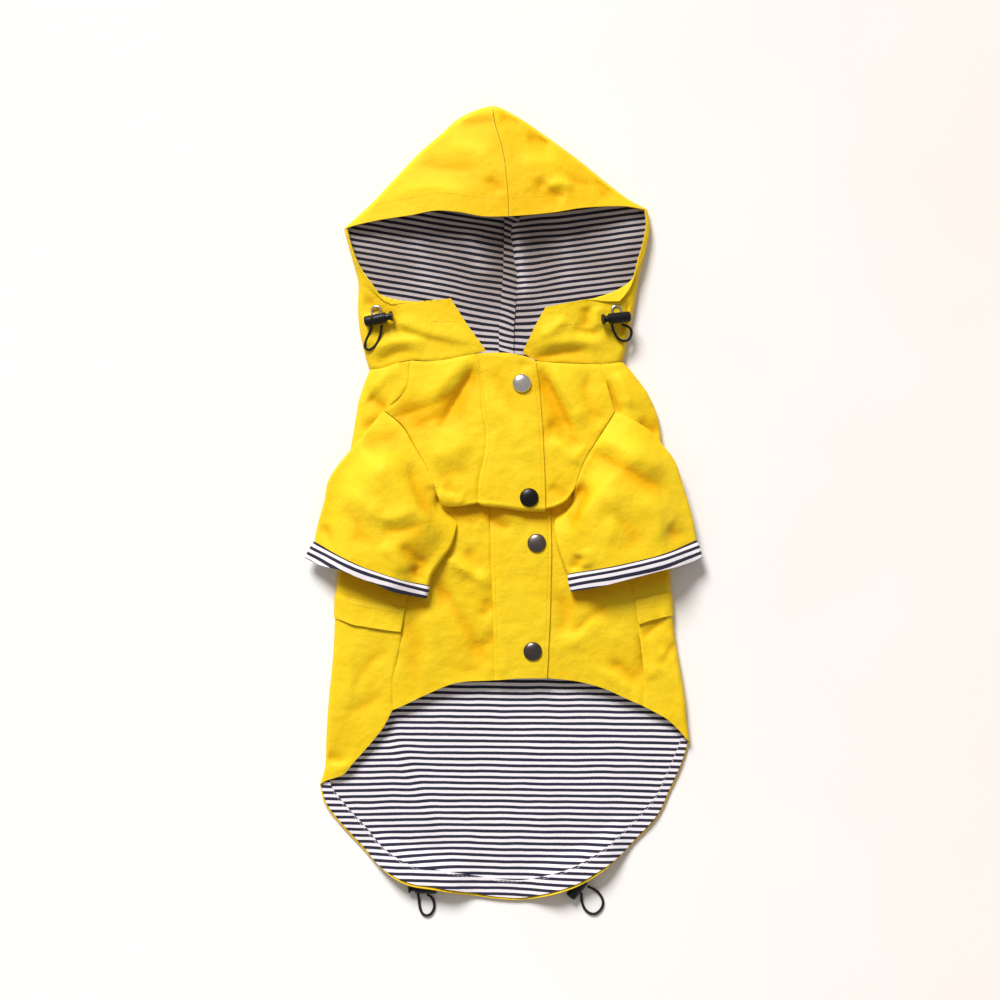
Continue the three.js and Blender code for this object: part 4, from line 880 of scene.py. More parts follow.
def sewing_thread(name, dark, light):
    material, shader, add, into = new_material(name)
    place = add("TexCoord").outputs["Object"]
    strand = add("TexNoise", {"Vector": place, "Scale": 900.0, "Detail": 2.0})
    tone = add("Mix", {0: strand.outputs[0], 6: dark, 7: light}, data_type="RGBA")
    into("Base Color", tone.outputs[2])
    shader.inputs["Roughness"].default_value = 0.6
    return material


YELLOW_THREAD = sewing_thread("yellow_thread", (0.55, 0.30, 0.003, 1), (0.72, 0.44, 0.006, 1))


def stitched(name, piece, lines, material=YELLOW_THREAD):
    """Rows of machine stitches that lie on the upper face of a piece, each half sunk in the cloth."""
    mesh = piece.data
    tree = BVHTree.FromPolygons([v.co for v in mesh.vertices], [list(p.vertices) for p in mesh.polygons])
    spots, faces = [], []
    for line in lines:
        fine = curve(line)(np.linspace(0, 1, 400))
        reach = np.concatenate([[0], np.cumsum(np.linalg.norm(np.diff(fine, axis=0), axis=1))])
        for start in np.arange(0.4, reach[-1] - STITCH["length"], STITCH["length"] + STITCH["gap"]):
            ring = []
            for share in (0, 0.25, 0.75, 1):
                at = start + share * STITCH["length"]
                x, y = (np.interp(at, reach, fine[:, k]) for k in (0, 1))
                ahead = [np.interp(at + 0.2, reach, fine[:, k]) - v for k, v in ((0, x), (1, y))]
                hit, normal, _, _ = tree.ray_cast(Vector((x * MM, y * MM, 0.1)), Vector((0, 0, -1)))
                if hit is None:
                    break
                along = Vector((ahead[0], ahead[1], 0)).normalized()
                across = normal.cross(along).normalized() * STITCH["width"] / 2 * MM
                up = normal * STITCH["height"] * (0.1 if share in (0, 1) else 0.7) * MM
                ring += [hit + across, hit + up, hit - across, hit - normal * 0.1 * MM]
            if len(ring) < 16:
                continue
            base = len(spots)
            spots += ring
            for k in range(3):
                for m in range(4):
                    a, b = base + 4 * k + m, base + 4 * k + (m + 1) % 4
                    faces.append((a, b, b + 4, a + 4))
            faces += [(base + 3, base + 2, base + 1, base), (base + 12, base + 13, base + 14, base + 15)]
    thread = bpy.data.meshes.new(name)
    thread.from_pydata(spots, [], faces)
    thread.materials.append(material)
    seam = bpy.data.objects.new(name, thread)
    bpy.context.scene.collection.objects.link(seam)
    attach(seam, "root")
    return seam


placket_stitches = stitched("placket_stitches", placket, [
    [(-16.4, 94), (-13.2, 69), (-9.6, 42), (-14.6, 14), (-15.2, 4)],
    [(19.2, 94), (21.2, 77), (22.8, 60), (24.8, 30), (25.6, 0)],
    [(-6.4, -13), (-6.2, -40), (-5.2, -78), (-4.2, -117)],
    [(29, -13), (29.6, -28), (28.6, -78), (26.6, -115)],
])

# ---------------------------------------------------------------- lining of the back, and the hem facing
# Striped cotton jersey, navy on white. The lining lies loose inside the back, and a facing of the same
# jersey is stitched down along the hem, where it makes the tunnel for the elastic.
STRIPE_PERIOD = 4.1
NAVY_SHARE = 0.5
FACING = 13.5
RIM = 1.5


def striped_jersey():
    material, shader, add, into = new_material("striped_jersey")
    place = add("TexCoord").outputs["Object"]
    cloth = add("UVMap", uv_map="cloth").outputs[0]
    grain = add("TexNoise", {"Vector": place, "Scale": 1400.0, "Detail": 3.0})
    wander = add("TexNoise", {"Vector": place, "Scale": 110.0, "Detail": 2.0})
    cloud = add("TexNoise", {"Vector": place, "Scale": 26.0, "Detail": 2.0})
    split = add("SeparateXYZ", {0: cloth})
    shift = add("MapRange", {0: wander.outputs[0], 3: -0.0002, 4: 0.0002})
    drift = add("Math", {0: split.outputs[1], 1: shift.outputs[0]}, operation="ADD")
    fuzz = add("MapRange", {0: grain.outputs[0], 3: -0.00008, 4: 0.00008})
    across = add("Math", {0: drift.outputs[0], 1: fuzz.outputs[0]}, operation="ADD")
    turns = add("Math", {0: across.outputs[0], 1: 1 / (STRIPE_PERIOD * MM)}, operation="MULTIPLY")
    part = add("Math", {0: turns.outputs[0]}, operation="FRACT")
    centred = add("Math", {0: part.outputs[0], 1: 0.5}, operation="SUBTRACT")
    apart = add("Math", {0: centred.outputs[0]}, operation="ABSOLUTE")
    stripe = add("MapRange", {0: apart.outputs[0], 1: NAVY_SHARE / 2 - 0.025, 2: NAVY_SHARE / 2 + 0.025},
                 interpolation_type="SMOOTHSTEP")
    white = add("Mix", {0: cloud.outputs[0], 6: (0.79, 0.74, 0.80, 1), 7: (0.86, 0.82, 0.86, 1)},
                data_type="RGBA")
    navy = add("Mix", {0: grain.outputs[0], 6: (0.010, 0.010, 0.026, 1), 7: (0.026, 0.024, 0.055, 1)},
               data_type="RGBA")
    colour = add("Mix", {0: stripe.outputs[0], 6: navy.outputs[2], 7: white.outputs[2]}, data_type="RGBA")
    # Painted shade: where the fold attribute runs low, in crease hollows and under the brim, the stripes are
    # multiplied towards a warm brown.
    depth = add("Attribute", attribute_name="fold").outputs["Fac"]
    painted_shade_amount = add("MapRange", {0: depth, 1: 0.0, 2: -6.0, 3: 0.0, 4: 1.0})
    painted_shade_tint = add("Mix", {0: painted_shade_amount.outputs[0], 6: (1, 1, 1, 1), 7: (0.30, 0.235, 0.18, 1)}, data_type="RGBA")
    shaded_jersey = add("Mix", {0: 1.0, 6: colour.outputs[2], 7: painted_shade_tint.outputs[2]}, data_type="RGBA",
                 blend_type="MULTIPLY")
    loops = add("VectorMath", {0: cloth, 3: 2 * math.pi / 0.0009}, operation="SCALE")
    loop = add("SeparateXYZ", {0: loops.outputs[0]})
    wale = add("Math", {0: loop.outputs[0]}, operation="SINE")
    course = add("Math", {0: loop.outputs[1]}, operation="SINE")
    knit = add("Math", {0: wale.outputs[0], 1: course.outputs[0]}, operation="MULTIPLY")
    height = add("Math", {0: knit.outputs[0], 1: grain.outputs[0]}, operation="ADD")
    bump = add("Bump", {"Height": height.outputs[0], "Distance": 0.00012, "Strength": 0.6})
    into("Base Color", shaded_jersey.outputs[2])
    into("Normal", bump.outputs[0])
    shader.inputs["Roughness"].default_value = 0.88
    shader.inputs["Specular IOR Level"].default_value = 0.2
    shader.inputs["Sheen Weight"].default_value = 0.15
    shader.inputs["Sheen Roughness"].default_value = 0.5
    return material


def along_edge(sheet, edge, distances):
    """Points of a sheet at the given distances in from its first or last row, and the faces there."""
    order = slice(None) if edge == "first" else slice(None, None, -1)
    points = sheet.points[order]
    normals = sheet.normals[order]
    steps = np.linalg.norm(np.diff(points, axis=0), axis=2)
    depth = np.vstack([np.zeros(points.shape[1]), np.cumsum(steps, axis=0)])
    spots = np.zeros((len(distances), points.shape[1], 3))
    faces = np.zeros_like(spots)
    for i in range(points.shape[1]):
        for axis in range(3):
            spots[:, i, axis] = np.interp(distances, depth[:, i], points[:, i, axis])
            faces[:, i, axis] = np.interp(distances, depth[:, i], normals[:, i, axis])
    return spots, unit(faces)


JERSEY = striped_jersey()
lining_first = FLAP_ROW + FINE // 2
inner_cols = (STRIP_COLS + 2, back.points.shape[1] - STRIP_COLS - 3)
inside = back.cut((lining_first, back.points.shape[0] - 1), inner_cols)
inside.points[-1, :, 2] -= HEM_ROLL
inside = Sheet(inside.points, 1)
lining = inside.lifted(-NEST)
LINING_CREASES = [
    (1.6, 14, 5, [(-84, -158), (-70, -182), (-55, -212), (-44, -238)]),
    (-0.7, 5, 9, [(-76, -160), (-62, -184), (-47, -212), (-36, -240)]),
    (0.7, 12, 12, [(10, -150), (30, -190), (34, -230)]),
    (0.5, 10, 14, [(60, -160), (70, -185), (66, -215)]),
]
lining = rumpled(creased(lining, LINING_CREASES), 0.3, 40, 16, -60, 21)
x, y = lining.points[..., 0], lining.points[..., 1]
past_fold = smooth((x - np.interp(-y, [158, 182, 212, 238], [-84, -70, -55, -44])) / 13)
lining.cloth[..., 1] = (y + 1.9 * (1 - past_fold) - 0.035 * (1 - past_fold) * (x + 90) + 0.012 * x
                        + 0.5 * ripple(x / 38, y / 30, 5) + 0.25 * ripple(x / 13, y / 12, 6))
back_lining = wall("back_lining_cloth", lining.held_back("last", by=RIM), JERSEY, 0.6)
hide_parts("back_lining")

band_points, _ = along_edge(lining, "last", np.linspace(FACING, RIM, 7))
band = Sheet(band_points, 1).lifted(-1.1)
x, y = band.points[..., 0], band.points[..., 1]
band.cloth[..., 1] = y + 1.7 + 0.03 * x + 0.4 * ripple(x / 20, y / 18, 8)
band = band.raised(0.35 * ripple(x / 7, y / 9, 9))
hem_facing = wall("hem_facing_cloth", band, JERSEY, 0.6)
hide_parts("hem_facing")
WHITE_THREAD = sewing_thread("white_thread", (0.52, 0.50, 0.55, 1), (0.70, 0.68, 0.72, 1))
inset, _ = along_edge(lining, "last", [FACING - 1.2])
facing_line = [tuple(p) for p in inset[0, ::6, :2]]
facing_stitches = stitched("hem_facing_stitches", hem_facing, [facing_line], WHITE_THREAD)

# ---------------------------------------------------------------- pocket flaps
# A flap of the yellow cotton is sewn into each side seam and folds round the side of the coat. It is
# stitched down twice along its top, and its lower edge stands a little off the pocket.
FLAP_STITCHES = {
    "left": [[(-70, -71.8), (-90, -68), (-108, -64.4)], [(-70.5, -74.6), (-90, -71), (-108, -67.6)]],
    "right": [[(91.5, -68.6), (100, -67.2), (109, -64.8)], [(92, -71.4), (100, -70), (109, -67.8)]],
}
for name in ("left", "right"):
    last = back.points.shape[1] - 1
    cols = (0, STRIP_COLS - 1) if name == "left" else (last - STRIP_COLS + 1, last)
    strip = back.cut((FLAP_ROW, FLAP_ROW + FINE), cols)
    down_flap = np.linspace(0, 1, FINE + 1)[:, None]
    seam_side = np.linspace(1, 0, STRIP_COLS) if name == "left" else np.linspace(0, 1, STRIP_COLS)
    curl = np.sin(seam_side * 7.0)[None] ** 2 * (1 - seam_side)[None]
    level = smooth((seam_side[None] - 0.1) / 0.25)
    flap = strip.lifted(0.95 + level * (0.15 + (0.65 + 0.8 * curl) * down_flap ** 1.5))
    flap = flap.held_back("start" if name == "left" else "end", by=1.0, drop=0.3)
    piece = wall(f"pocket_flap_cloth_{name}", flap.held_back("first", by=0.1, drop=0.7), YELLOW)
    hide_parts(f"pocket_flap_{name}")
    stitched(f"pocket_flap_stitches_{name}", piece, FLAP_STITCHES[name])

# ---------------------------------------------------------------- sleeves and cuffs
# Each sleeve is a short flattened tube of yellow cotton on top of the coat, set in at the armhole. A band
# of the striped jersey turns up round its open end.
SLEEVE_ROWS = 5
SLEEVE_STEPS = 40
SLEEVE_LOFT = 9
SLEEVE_CLEARANCE = 1
SLEEVE_RADIUS = (0.8, 2.2)
CUFF_DROP = 3


def under_sleeve(x, y):
    outside = np.maximum(look_up(SIDE_FOLD["left"], y) - x, x - look_up(SIDE_FOLD["right"], y))
    return strip_top(x, y) - CUFF_DROP * smooth(np.maximum(0, outside) / 20)


def chest_or_belly(side, x, y):
    pleat_end = side["armhole"][-1][1]
    return mix(belly_top(x, y), chest_top(x, y), smooth((y - pleat_end + 8) / 10))


def tube(side, outer, inner, upper, lower, end, v):
    """A flattened tube: its upper cloth from the outer fold to the inner, and back underneath."""
    length = lengths_of(outer, inner)
    radius = mix(*SLEEVE_RADIUS, smooth(v * 2))
    near = row_steps(length, radius, SLEEVE_STEPS)
    far = 1 - row_steps(length, radius, 1)[:, TURN_STEPS::-1]
    keep = near[:, :-1].max(0) < far.min()
    t = np.hstack([near[:, :-1][:, keep], far])
    radius, v = radius[:, None], v[:, None]
    d = np.minimum(t, 1 - t) * length[:, None]

    def base(x, y):
        return under_sleeve(x, y) + NEST + SLEEVE_CLEARANCE * smooth(v * 4)

    top = patch(outer, inner, upper, end, t)
    x, y = top[..., 0], top[..., 1]
    within = smooth((d - radius) / 25)
    full = base(x, y) + radius + arc(d, radius) + SLEEVE_LOFT * within * smooth(v * 3)
    seam = np.maximum(chest_or_belly(side, x, y), base(x, y) + radius + arc(d, radius))
    top = np.dstack([top, mix(mix(full, seam, within), full, smooth(v * 3))])
    bottom = patch(outer, inner, lower, end, t)[:, -2:0:-1]
    d = d[:, -2:0:-1]
    level = base(bottom[..., 0], bottom[..., 1]) + radius - arc(d, radius)
    return np.concatenate([top, np.dstack([bottom, level]), top[:, :1]], axis=1)


SLEEVE_CREASES = {
    "left": [
        (-1.8, 10, 10, [(-97, 36), (-84, 41), (-68, 46)]),
        (1.0, 16, 14, [(-104, 20), (-84, 22), (-60, 26)]),
        (-1.6, 4, 8, [(-84, -17), (-70, -18), (-52, -13)]),
        (1.4, 8, 5, [(-96, -6), (-78, -10), (-56, -4)]),
        (-2.2, 7, 9, [(-71, -27), (-62, -35), (-49, -44)]),
        (1.3, 6, 6, [(-84, -26), (-72, -38), (-64, -48)]),
        (-1.6, 3, 3, [(-60, -42), (-58, -50), (-56, -55)]),
        (-1.5, 3, 3, [(-122, -14), (-119, -24), (-117, -31)]),
        (-1.5, 6, 5, [(-66, 30), (-58, 10), (-48, -10)]),
        (-1.1, 6, 9, [(-112, -2), (-100, -14), (-96, -32)]),
        (1.0, 6, 6, [(-108, 8), (-92, -2), (-80, -4)]),
    ],
    "right": [
        (-2.6, 5, 10, [(56, 37), (68, 30), (82, 23), (112, 8)]),
        (2.0, 10, 7, [(58, 46), (76, 38), (96, 28), (112, 20)]),
        (-1.8, 4, 7, [(110, -15), (116, -20), (122, -26)]),
        (1.4, 8, 8, [(70, 12), (74, -8), (70, -30)]),
        (-2.4, 6, 4, [(56, 16), (49, 0), (42, -19)]),
        (-1.4, 7, 7, [(64, -2), (84, -18), (90, -34)]),
        (1.2, 7, 7, [(92, 6), (104, -10), (106, -28)]),
        (-1.8, 3, 3, [(51, -34), (49, -41), (47, -46)]),
        (1.2, 4, 4, [(56, -30), (56, -38), (54, -45)]),
    ],
}
ARMHOLE_GAP = 0.2
ARMHOLE_STEP = 4  # the most that the sleeve's head comes down to the front
SET_IN_SHARE = 0.14  # of the sleeve's length


def set_in(sleeve, side, v):
    """The sleeve with its head brought down to the height of the front that it is sewn to."""
    cols = np.arange(sleeve.index.shape[1])
    start = sleeve.points[0, np.minimum(cols, cols[-1] - cols)]
    above = start[:, 2] - chest_or_belly(side, start[:, 0], start[:, 1]) - ARMHOLE_GAP
    points = sleeve.points.copy()
    points[..., 2] -= np.clip(above, 0, ARMHOLE_STEP) * (1 - smooth(v / SET_IN_SHARE))[:, None]
    return Sheet(points, side["sign"])


sleeves = {}
cuffs = {}
for name, side in SIDES.items():
    front_edge = curve([*side["armhole"], *side["underarm"][1:]])
    cuff_edge = curve(side["cuff_top"])
    outer = rail((side["sleeve_outer"], SLEEVE_ROWS))
    inner = rail((side["sleeve_inner"], SLEEVE_ROWS))
    v = np.linspace(0, 1, len(outer))
    back_edge = curve(side["back_armhole"])
    sleeve = Sheet(tube(side, outer, inner, front_edge, back_edge, cuff_edge, v), side["sign"])
    sleeve = set_in(sleeve, side, v)
    upward = np.clip(sleeve.normals[..., 2] * 3, 0, 1) * (1 - smooth((v - 0.9) / 0.1))[:, None]
    upward *= smooth(v / 0.05)[:, None]
    sleeve = creased(sleeve, SLEEVE_CREASES[name], upward)
    sleeve = rumpled(sleeve, 0.6, 30, 12, 65 if name == "left" else -50, 31 + side["sign"], upward)
    sleeve = sleeve.held_back("first", by=0.6, drop=0.6)
    piece = wall(f"sleeve_cloth_{name}", sleeve.held_back("last"), YELLOW)
    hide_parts(f"sleeve_{name}")
    sleeves[name] = sleeve

    outer = rail((side["cuff_outer"], 1))
    inner = rail((side["cuff_inner"], 1))
    v = np.linspace(0, 1, len(outer))
    cuff_end = curve(side["cuff_bottom"])
    cuff = Sheet(tube(side, outer, inner, cuff_edge, cuff_edge, cuff_end, np.ones(len(outer))), side["sign"])
    swell = 0.5 * np.sin(math.pi * v)[:, None] * np.ones(cuff.index.shape)
    cuff = cuff.lifted(swell + 0.25 * ripple(cuff.points[..., 0] / 9, cuff.points[..., 1] / 9, 40))
    widths = np.linalg.norm(cuff.points[-1] - cuff.points[0], axis=1)
    inwards = np.clip((np.abs(side["cuff_outer"][0][0]) - np.abs(cuff.points[..., 0])) / 80, 0, 1)
    cuff.cloth[..., 1] = v[:, None] * widths[None] * 0.97 + STRIPE_PERIOD / 2 - 0.5 + 1.1 * inwards
    piece = wall(f"cuff_cloth_{name}", cuff.held_back("first"), JERSEY, 1.2)
    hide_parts(f"cuff_{name}")
    cuffs[name] = cuff

# ---------------------------------------------------------------- hood and its lining
# Two halves of yellow cotton, seamed down the middle, with striped jersey inside. Each runs from the centre
# back seam on the table, round the side fold, to the brim, the collar and the neck opening.
HOOD_ROWS = {"crown": 7, "rim": 3, "collar": 2, "opening": 3}
HOOD_UNDER_STEPS = 30
HOOD_OVER_STEPS = 34
HOOD_STRIP = 10
BRIM_HEIGHT = 21
CENTRE_SEAM = [(-8, 270.6), (-6, 257), (-2, 244), (0.5, 232), (1.8, 219), (2.8, 206), (3, 194), (2.5, 150),
               (1, 96.5)]


def seam_x(y):
    return look_up([(row[1], row[0]) for row in reversed(CENTRE_SEAM)], y)


def hood_top(distance, y):
    return rise(distance, y, mix(look_up(CHEST_HEIGHT, y), BRIM_HEIGHT, smooth((y - 175) / 20)))


def kept_to_side(sign, room=0.15):
    """Stops the cloth at the centre seam."""
    def keep(spots):
        seam = seam_x(spots[:, 1])
        if sign < 0:
            spots[:, 0] = np.minimum(spots[:, 0], seam - room)
        else:
            spots[:, 0] = np.maximum(spots[:, 0], seam + room)
        return spots
    return keep


def hood_half(name, side):
    corner = HOOD_ROWS["crown"] * FINE
    rows = sum(HOOD_ROWS.values())
    fold = rail((side["crown"], HOOD_ROWS["crown"]), (side["hood_fold"], rows - HOOD_ROWS["crown"]))
    edge = rail((side["brim"], HOOD_ROWS["crown"]), (side["rim"], HOOD_ROWS["rim"]),
                (side["collar"], HOOD_ROWS["collar"]), (side["opening"], HOOD_ROWS["opening"]))
    centre = rail((CENTRE_SEAM, rows))
    radius = fold_radius(fold[:, 1])
    tip = np.array(side["crown"][0], float)
    under_length = lengths_of(fold, centre)
    t = row_steps(under_length, radius, HOOD_UNDER_STEPS)[:, :0:-1]

    def to_tip(t):
        return np.broadcast_to(tip, (*t.shape, 2))

    flat = patch(centre, fold, to_tip, curve(side["neck_under"]), 1 - t)
    below = np.dstack([flat, under_height(t * under_length[:, None], radius[:, None])])
    over_length = lengths_of(fold, edge)
    t = row_steps(over_length, radius, HOOD_OVER_STEPS)
    across = curve([fold[corner], edge[corner]])
    parts = [patch(fold[:corner + 1], edge[:corner + 1], curve(CENTRE_SEAM[:7]), across, t[:corner + 1]),
             patch(fold[corner:], edge[corner:], across, curve(side["neck"]), t[corner:])[1:]]
    flat = np.concatenate(parts)
    d = t * over_length[:, None]
    above = np.dstack([flat, over_height(d, radius[:, None], hood_top(d, flat[..., 1]))])
    return Sheet(np.concatenate([below, above], axis=1), side["sign"]), below.shape[1]


HOOD_CREASES = {
    "left": [
        (-1.6, 4, 7, [(-80, 119), (-66, 116), (-50, 112), (-20, 106)]),
        (1.8, 7, 5, [(-76, 126), (-60, 118), (-40, 112), (-18, 108)]),
        (1.8, 5, 7, [(-90, 100), (-79, 108), (-66, 110), (-50, 109)]),
        (-1.4, 4, 6, [(-88, 94), (-74, 102), (-58, 103)]),
        (-1.4, 8, 6, [(-96, 142), (-84, 128), (-70, 122)]),
        (1.4, 5, 7, [(-94, 130), (-90, 116), (-92, 104)]),
        (-1.2, 5, 4, [(-12, 220), (-6, 215), (0, 211)]),
        (-1.0, 7, 6, [(-60, 232), (-36, 226), (-16, 228)]),
        (0.9, 10, 8, [(-80, 208), (-50, 214), (-20, 208)]),
        (-1.2, 4, 5, [(-30, 258), (-16, 259), (-4, 260)]),
        (0.7, 7, 7, [(-40, 244), (-24, 240), (-6, 236)]),
    ],
    "right": [
        (1.8, 5, 6, [(22, 112), (32, 117), (44, 127)]),
        (-1.5, 5, 4, [(46, 119), (56, 116), (66, 114)]),
        (-2.0, 4, 7, [(16, 98), (30, 100), (44, 103), (60, 103)]),
        (1.4, 7, 5, [(20, 106), (36, 109), (54, 110), (70, 106)]),
        (-1.6, 3, 4, [(57, 134), (57, 127), (56, 119)]),
        (1.3, 4, 4, [(62, 134), (63, 126), (64, 118)]),
        (-1.2, 5, 5, [(84, 140), (86, 126), (80, 112)]),
        (-1.5, 4, 5, [(15, 247), (24, 247), (33, 245)]),
        (-2.2, 5, 6, [(22, 219), (30, 212), (42, 206)]),
        (1.8, 5, 5, [(24, 210), (36, 216), (48, 214)]),
        (-1.0, 5, 4, [(40, 224), (50, 218), (62, 216)]),
        (-1.0, 6, 6, [(62, 222), (70, 212), (66, 206)]),
        (0.9, 7, 7, [(10, 228), (24, 232), (40, 228)]),
        (-1.2, 4, 5, [(-4, 262), (6, 262), (14, 258)]),
    ],
}
CROWN_PAINTED_SHADE = 1.1  # painted shade that darkens the yellow of the crown, as a fold's depth
HOOD_STITCHES = {
    "left": [[(1, 206), (-14, 206), (-31, 209), (-47, 210), (-64, 207), (-80, 204.5), (-90, 202)],
             [(-75, 120.5), (-60, 122.6), (-44, 123.4), (-30, 123.2)],
             [(-9.6, 262), (-8, 256), (-4.6, 244), (-2, 232), (-0.6, 219), (0.2, 208)]],
    "right": [[(4.6, 206), (17, 207), (35, 209), (52, 212), (66, 213.4)],
              [(31, 119.5), (46, 121.5), (58, 122), (66, 121.6)]],
}
hoods = {}
for name, side in SIDES.items():
    plain, under_cols = hood_half(name, side)
    sign = side["sign"]
    upper_cols = np.arange(plain.index.shape[1]) >= under_cols + TURN_STEPS
    upper_part = upper_cols[None] * np.ones(plain.index.shape)
    hood = creased(plain, HOOD_CREASES[name], upper_part)
    hood = rumpled(hood, 0.55, 30, 13, 40 * sign, 50 + sign, upper_part)
    # Painted shade over the crown, laid on the fold attribute.
    crown_shade_mask = smooth((hood.points[..., 1] - 188) / 12) * upper_part
    hood.fold = hood.fold - CROWN_PAINTED_SHADE * crown_shade_mask
    piece = wall(f"hood_cloth_{name}", hood.held_back("last", by=0.35, drop=0.5), YELLOW,
                 keep=kept_to_side(sign))
    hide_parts(f"hood_{name}")
    hoods[name] = hood
    seam = stitched(f"hood_stitches_{name}", piece, HOOD_STITCHES[name])

    inner = hood.cut((FINE, plain.index.shape[0] - 1), (0, under_cols + 1))
    lining = inner.lifted(-NEST)
    x, y = lining.points[..., 0], lining.points[..., 1]
    below = (np.arange(x.shape[1]) < under_cols)[None] * np.ones(x.shape)
    lining = rumpled(lining, 0.5, 40, 15, 70, 60 + sign, below)
    if name == "right":
        lining = creased(lining, [(2.4, 6, 4, [(6, 198), (9, 176), (13, 150), (15, 132)]),
                                  (0.9, 8, 8, [(40, 190), (44, 165), (42, 140)])], below)
    else:
        lining = creased(lining, [(1.2, 9, 6, [(-28, 190), (-18, 168), (-12, 150)]),
                                  (0.8, 9, 9, [(-62, 186), (-54, 160), (-50, 138)])], below)
    x, y = lining.points[..., 0], lining.points[..., 1]
    off = x - seam_x(y)
    slope = 0.17 * off if name == "left" else -0.13 * off
    waves = ripple(x / 22, y / 26, 70 + sign) * (0.4 + 1.1 * np.exp(-(off / 34) ** 2))
    lining.cloth[..., 1] = y + slope * (1 - 0.55 * smooth((140 - y) / 35)) + waves
    # Painted shadow of the brim on the lining, and painted shade along the middle of the hood, laid on the
    # fold attribute.
    painted_brim_shadow = np.interp(y, [100, 135, 165, 180, 195], [0.8, 3.0, 4.6, 4.0, 3.2])
    lining.fold = lining.fold - painted_brim_shadow - 1.2 * np.exp(-(off / 30) ** 2)
    lining = lining.held_back("start", by=HOOD_STRIP / 2 + 0.2)
    piece = wall(f"hood_lining_cloth_{name}", lining, JERSEY, 0.6,
                 keep=kept_to_side(sign, 0.3))
    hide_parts(f"hood_lining_{name}")

# The lining's halves meet under a narrow strip of the same jersey, stitched down both its sides.
levels = np.linspace(207, 97.5, 60)
offsets = np.linspace(-0.5, 0.5, 9)
centre = seam_x(levels) + np.interp(levels, [97, 120, 160, 207], [0.5, 0, 2, 2.5])
x = centre[:, None] + offsets[None] * HOOD_STRIP
y = np.broadcast_to(levels[:, None], x.shape)
strip = Sheet(np.dstack([x, y, FLOOR + 1.9 * NEST + 0.5 * np.cos(math.pi * offsets)[None]
                         + 0.25 * ripple(x / 9, y / 12, 81)]), -1)
# Painted shadow of the brim on the strip, laid on the fold attribute.
strip.fold = -np.interp(y, [100, 135, 165, 180, 195], [1.4, 3.8, 5.4, 4.8, 4.2])
strip.cloth[..., 1] = y + 0.28 * (x - centre[:, None]) + 2.1 + 0.5 * ripple(x / 9, y / 14, 82)
hood_strip = wall("hood_lining_strip", strip, JERSEY, 0.6)
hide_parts("hood_lining_centre")

# ---------------------------------------------------------------- press studs and eyelets
# Spun caps of gunmetal-plated brass, 12.7 mm across, riveted through the placket, and nickel eyelets where
# the elastic leaves the hood.
def spun_metal(name, dark, bright, roughness):
    material, shader, add, into = new_material(name)
    place = add("TexCoord").outputs["Object"]
    scratch = add("TexNoise", {"Vector": place, "Scale": 1800.0, "Detail": 4.0})
    cloud = add("TexNoise", {"Vector": place, "Scale": 160.0, "Detail": 2.0})
    colour = add("Mix", {0: cloud.outputs[0], 6: dark, 7: bright}, data_type="RGBA")
    gloss = add("MapRange", {0: scratch.outputs[0], 3: roughness - 0.06, 4: roughness + 0.1})
    bump = add("Bump", {"Height": scratch.outputs[0], "Distance": 0.00002, "Strength": 0.4})
    into("Base Color", colour.outputs[2])
    into("Roughness", gloss.outputs[0])
    into("Normal", bump.outputs[0])
    shader.inputs["Metallic"].default_value = 1.0
    return material


def lathe(name, profile, material, place, axis, sides=64, squash=(1, 1)):
    """Turns a profile of radius and height round an axis that starts at a place."""
    angles = np.linspace(0, 2 * math.pi, sides, endpoint=False)
    spots = []
    faces = []
    for radius, height in profile:
        for angle in angles:
            spots.append((radius * squash[0] * math.cos(angle), radius * squash[1] * math.sin(angle), height))
    for ring in range(len(profile) - 1):
        for k in range(sides):
            a, b = ring * sides + k, ring * sides + (k + 1) % sides
            faces.append((a, b, b + sides, a + sides))
    mesh = bpy.data.meshes.new(name)
    turn = Vector(axis).to_track_quat("Z", "Y")
    mesh.from_pydata([tuple(Vector(place) + turn @ (Vector(spot) * MM)) for spot in spots], [], faces)
    mesh.validate()
    edit = bmesh.new()
    edit.from_mesh(mesh)
    bmesh.ops.remove_doubles(edit, verts=edit.verts, dist=1e-6)
    bmesh.ops.recalc_face_normals(edit, faces=edit.faces)
    edit.to_mesh(mesh)
    edit.free()
    mesh.materials.append(material)
    mesh.polygons.foreach_set("use_smooth", [True] * len(mesh.polygons))
    mesh.set_sharp_from_angle(angle=math.radians(40))
    piece = bpy.data.objects.new(name, mesh)
    bpy.context.scene.collection.objects.link(piece)
    return piece


def node_frame(node, flat):
    """The points of a turned CAD piece, and its axis: the short way of a flat one, the long way of a rod."""
    spots = np.array([v.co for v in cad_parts[node].data.vertices])
    _, ways = np.linalg.eigh(np.cov((spots - spots.mean(0)).T))
    return spots, ways[:, 0] if flat else ways[:, 2]


def seat(node):
    """Where a flat turned piece stands on the cloth, and its axis, which points up."""
    spots, axis = node_frame(node, True)
    axis = axis * np.sign(axis[2])
    height = spots @ axis
    return spots.mean(0) + axis * (height.min() - spots.mean(0) @ axis), axis


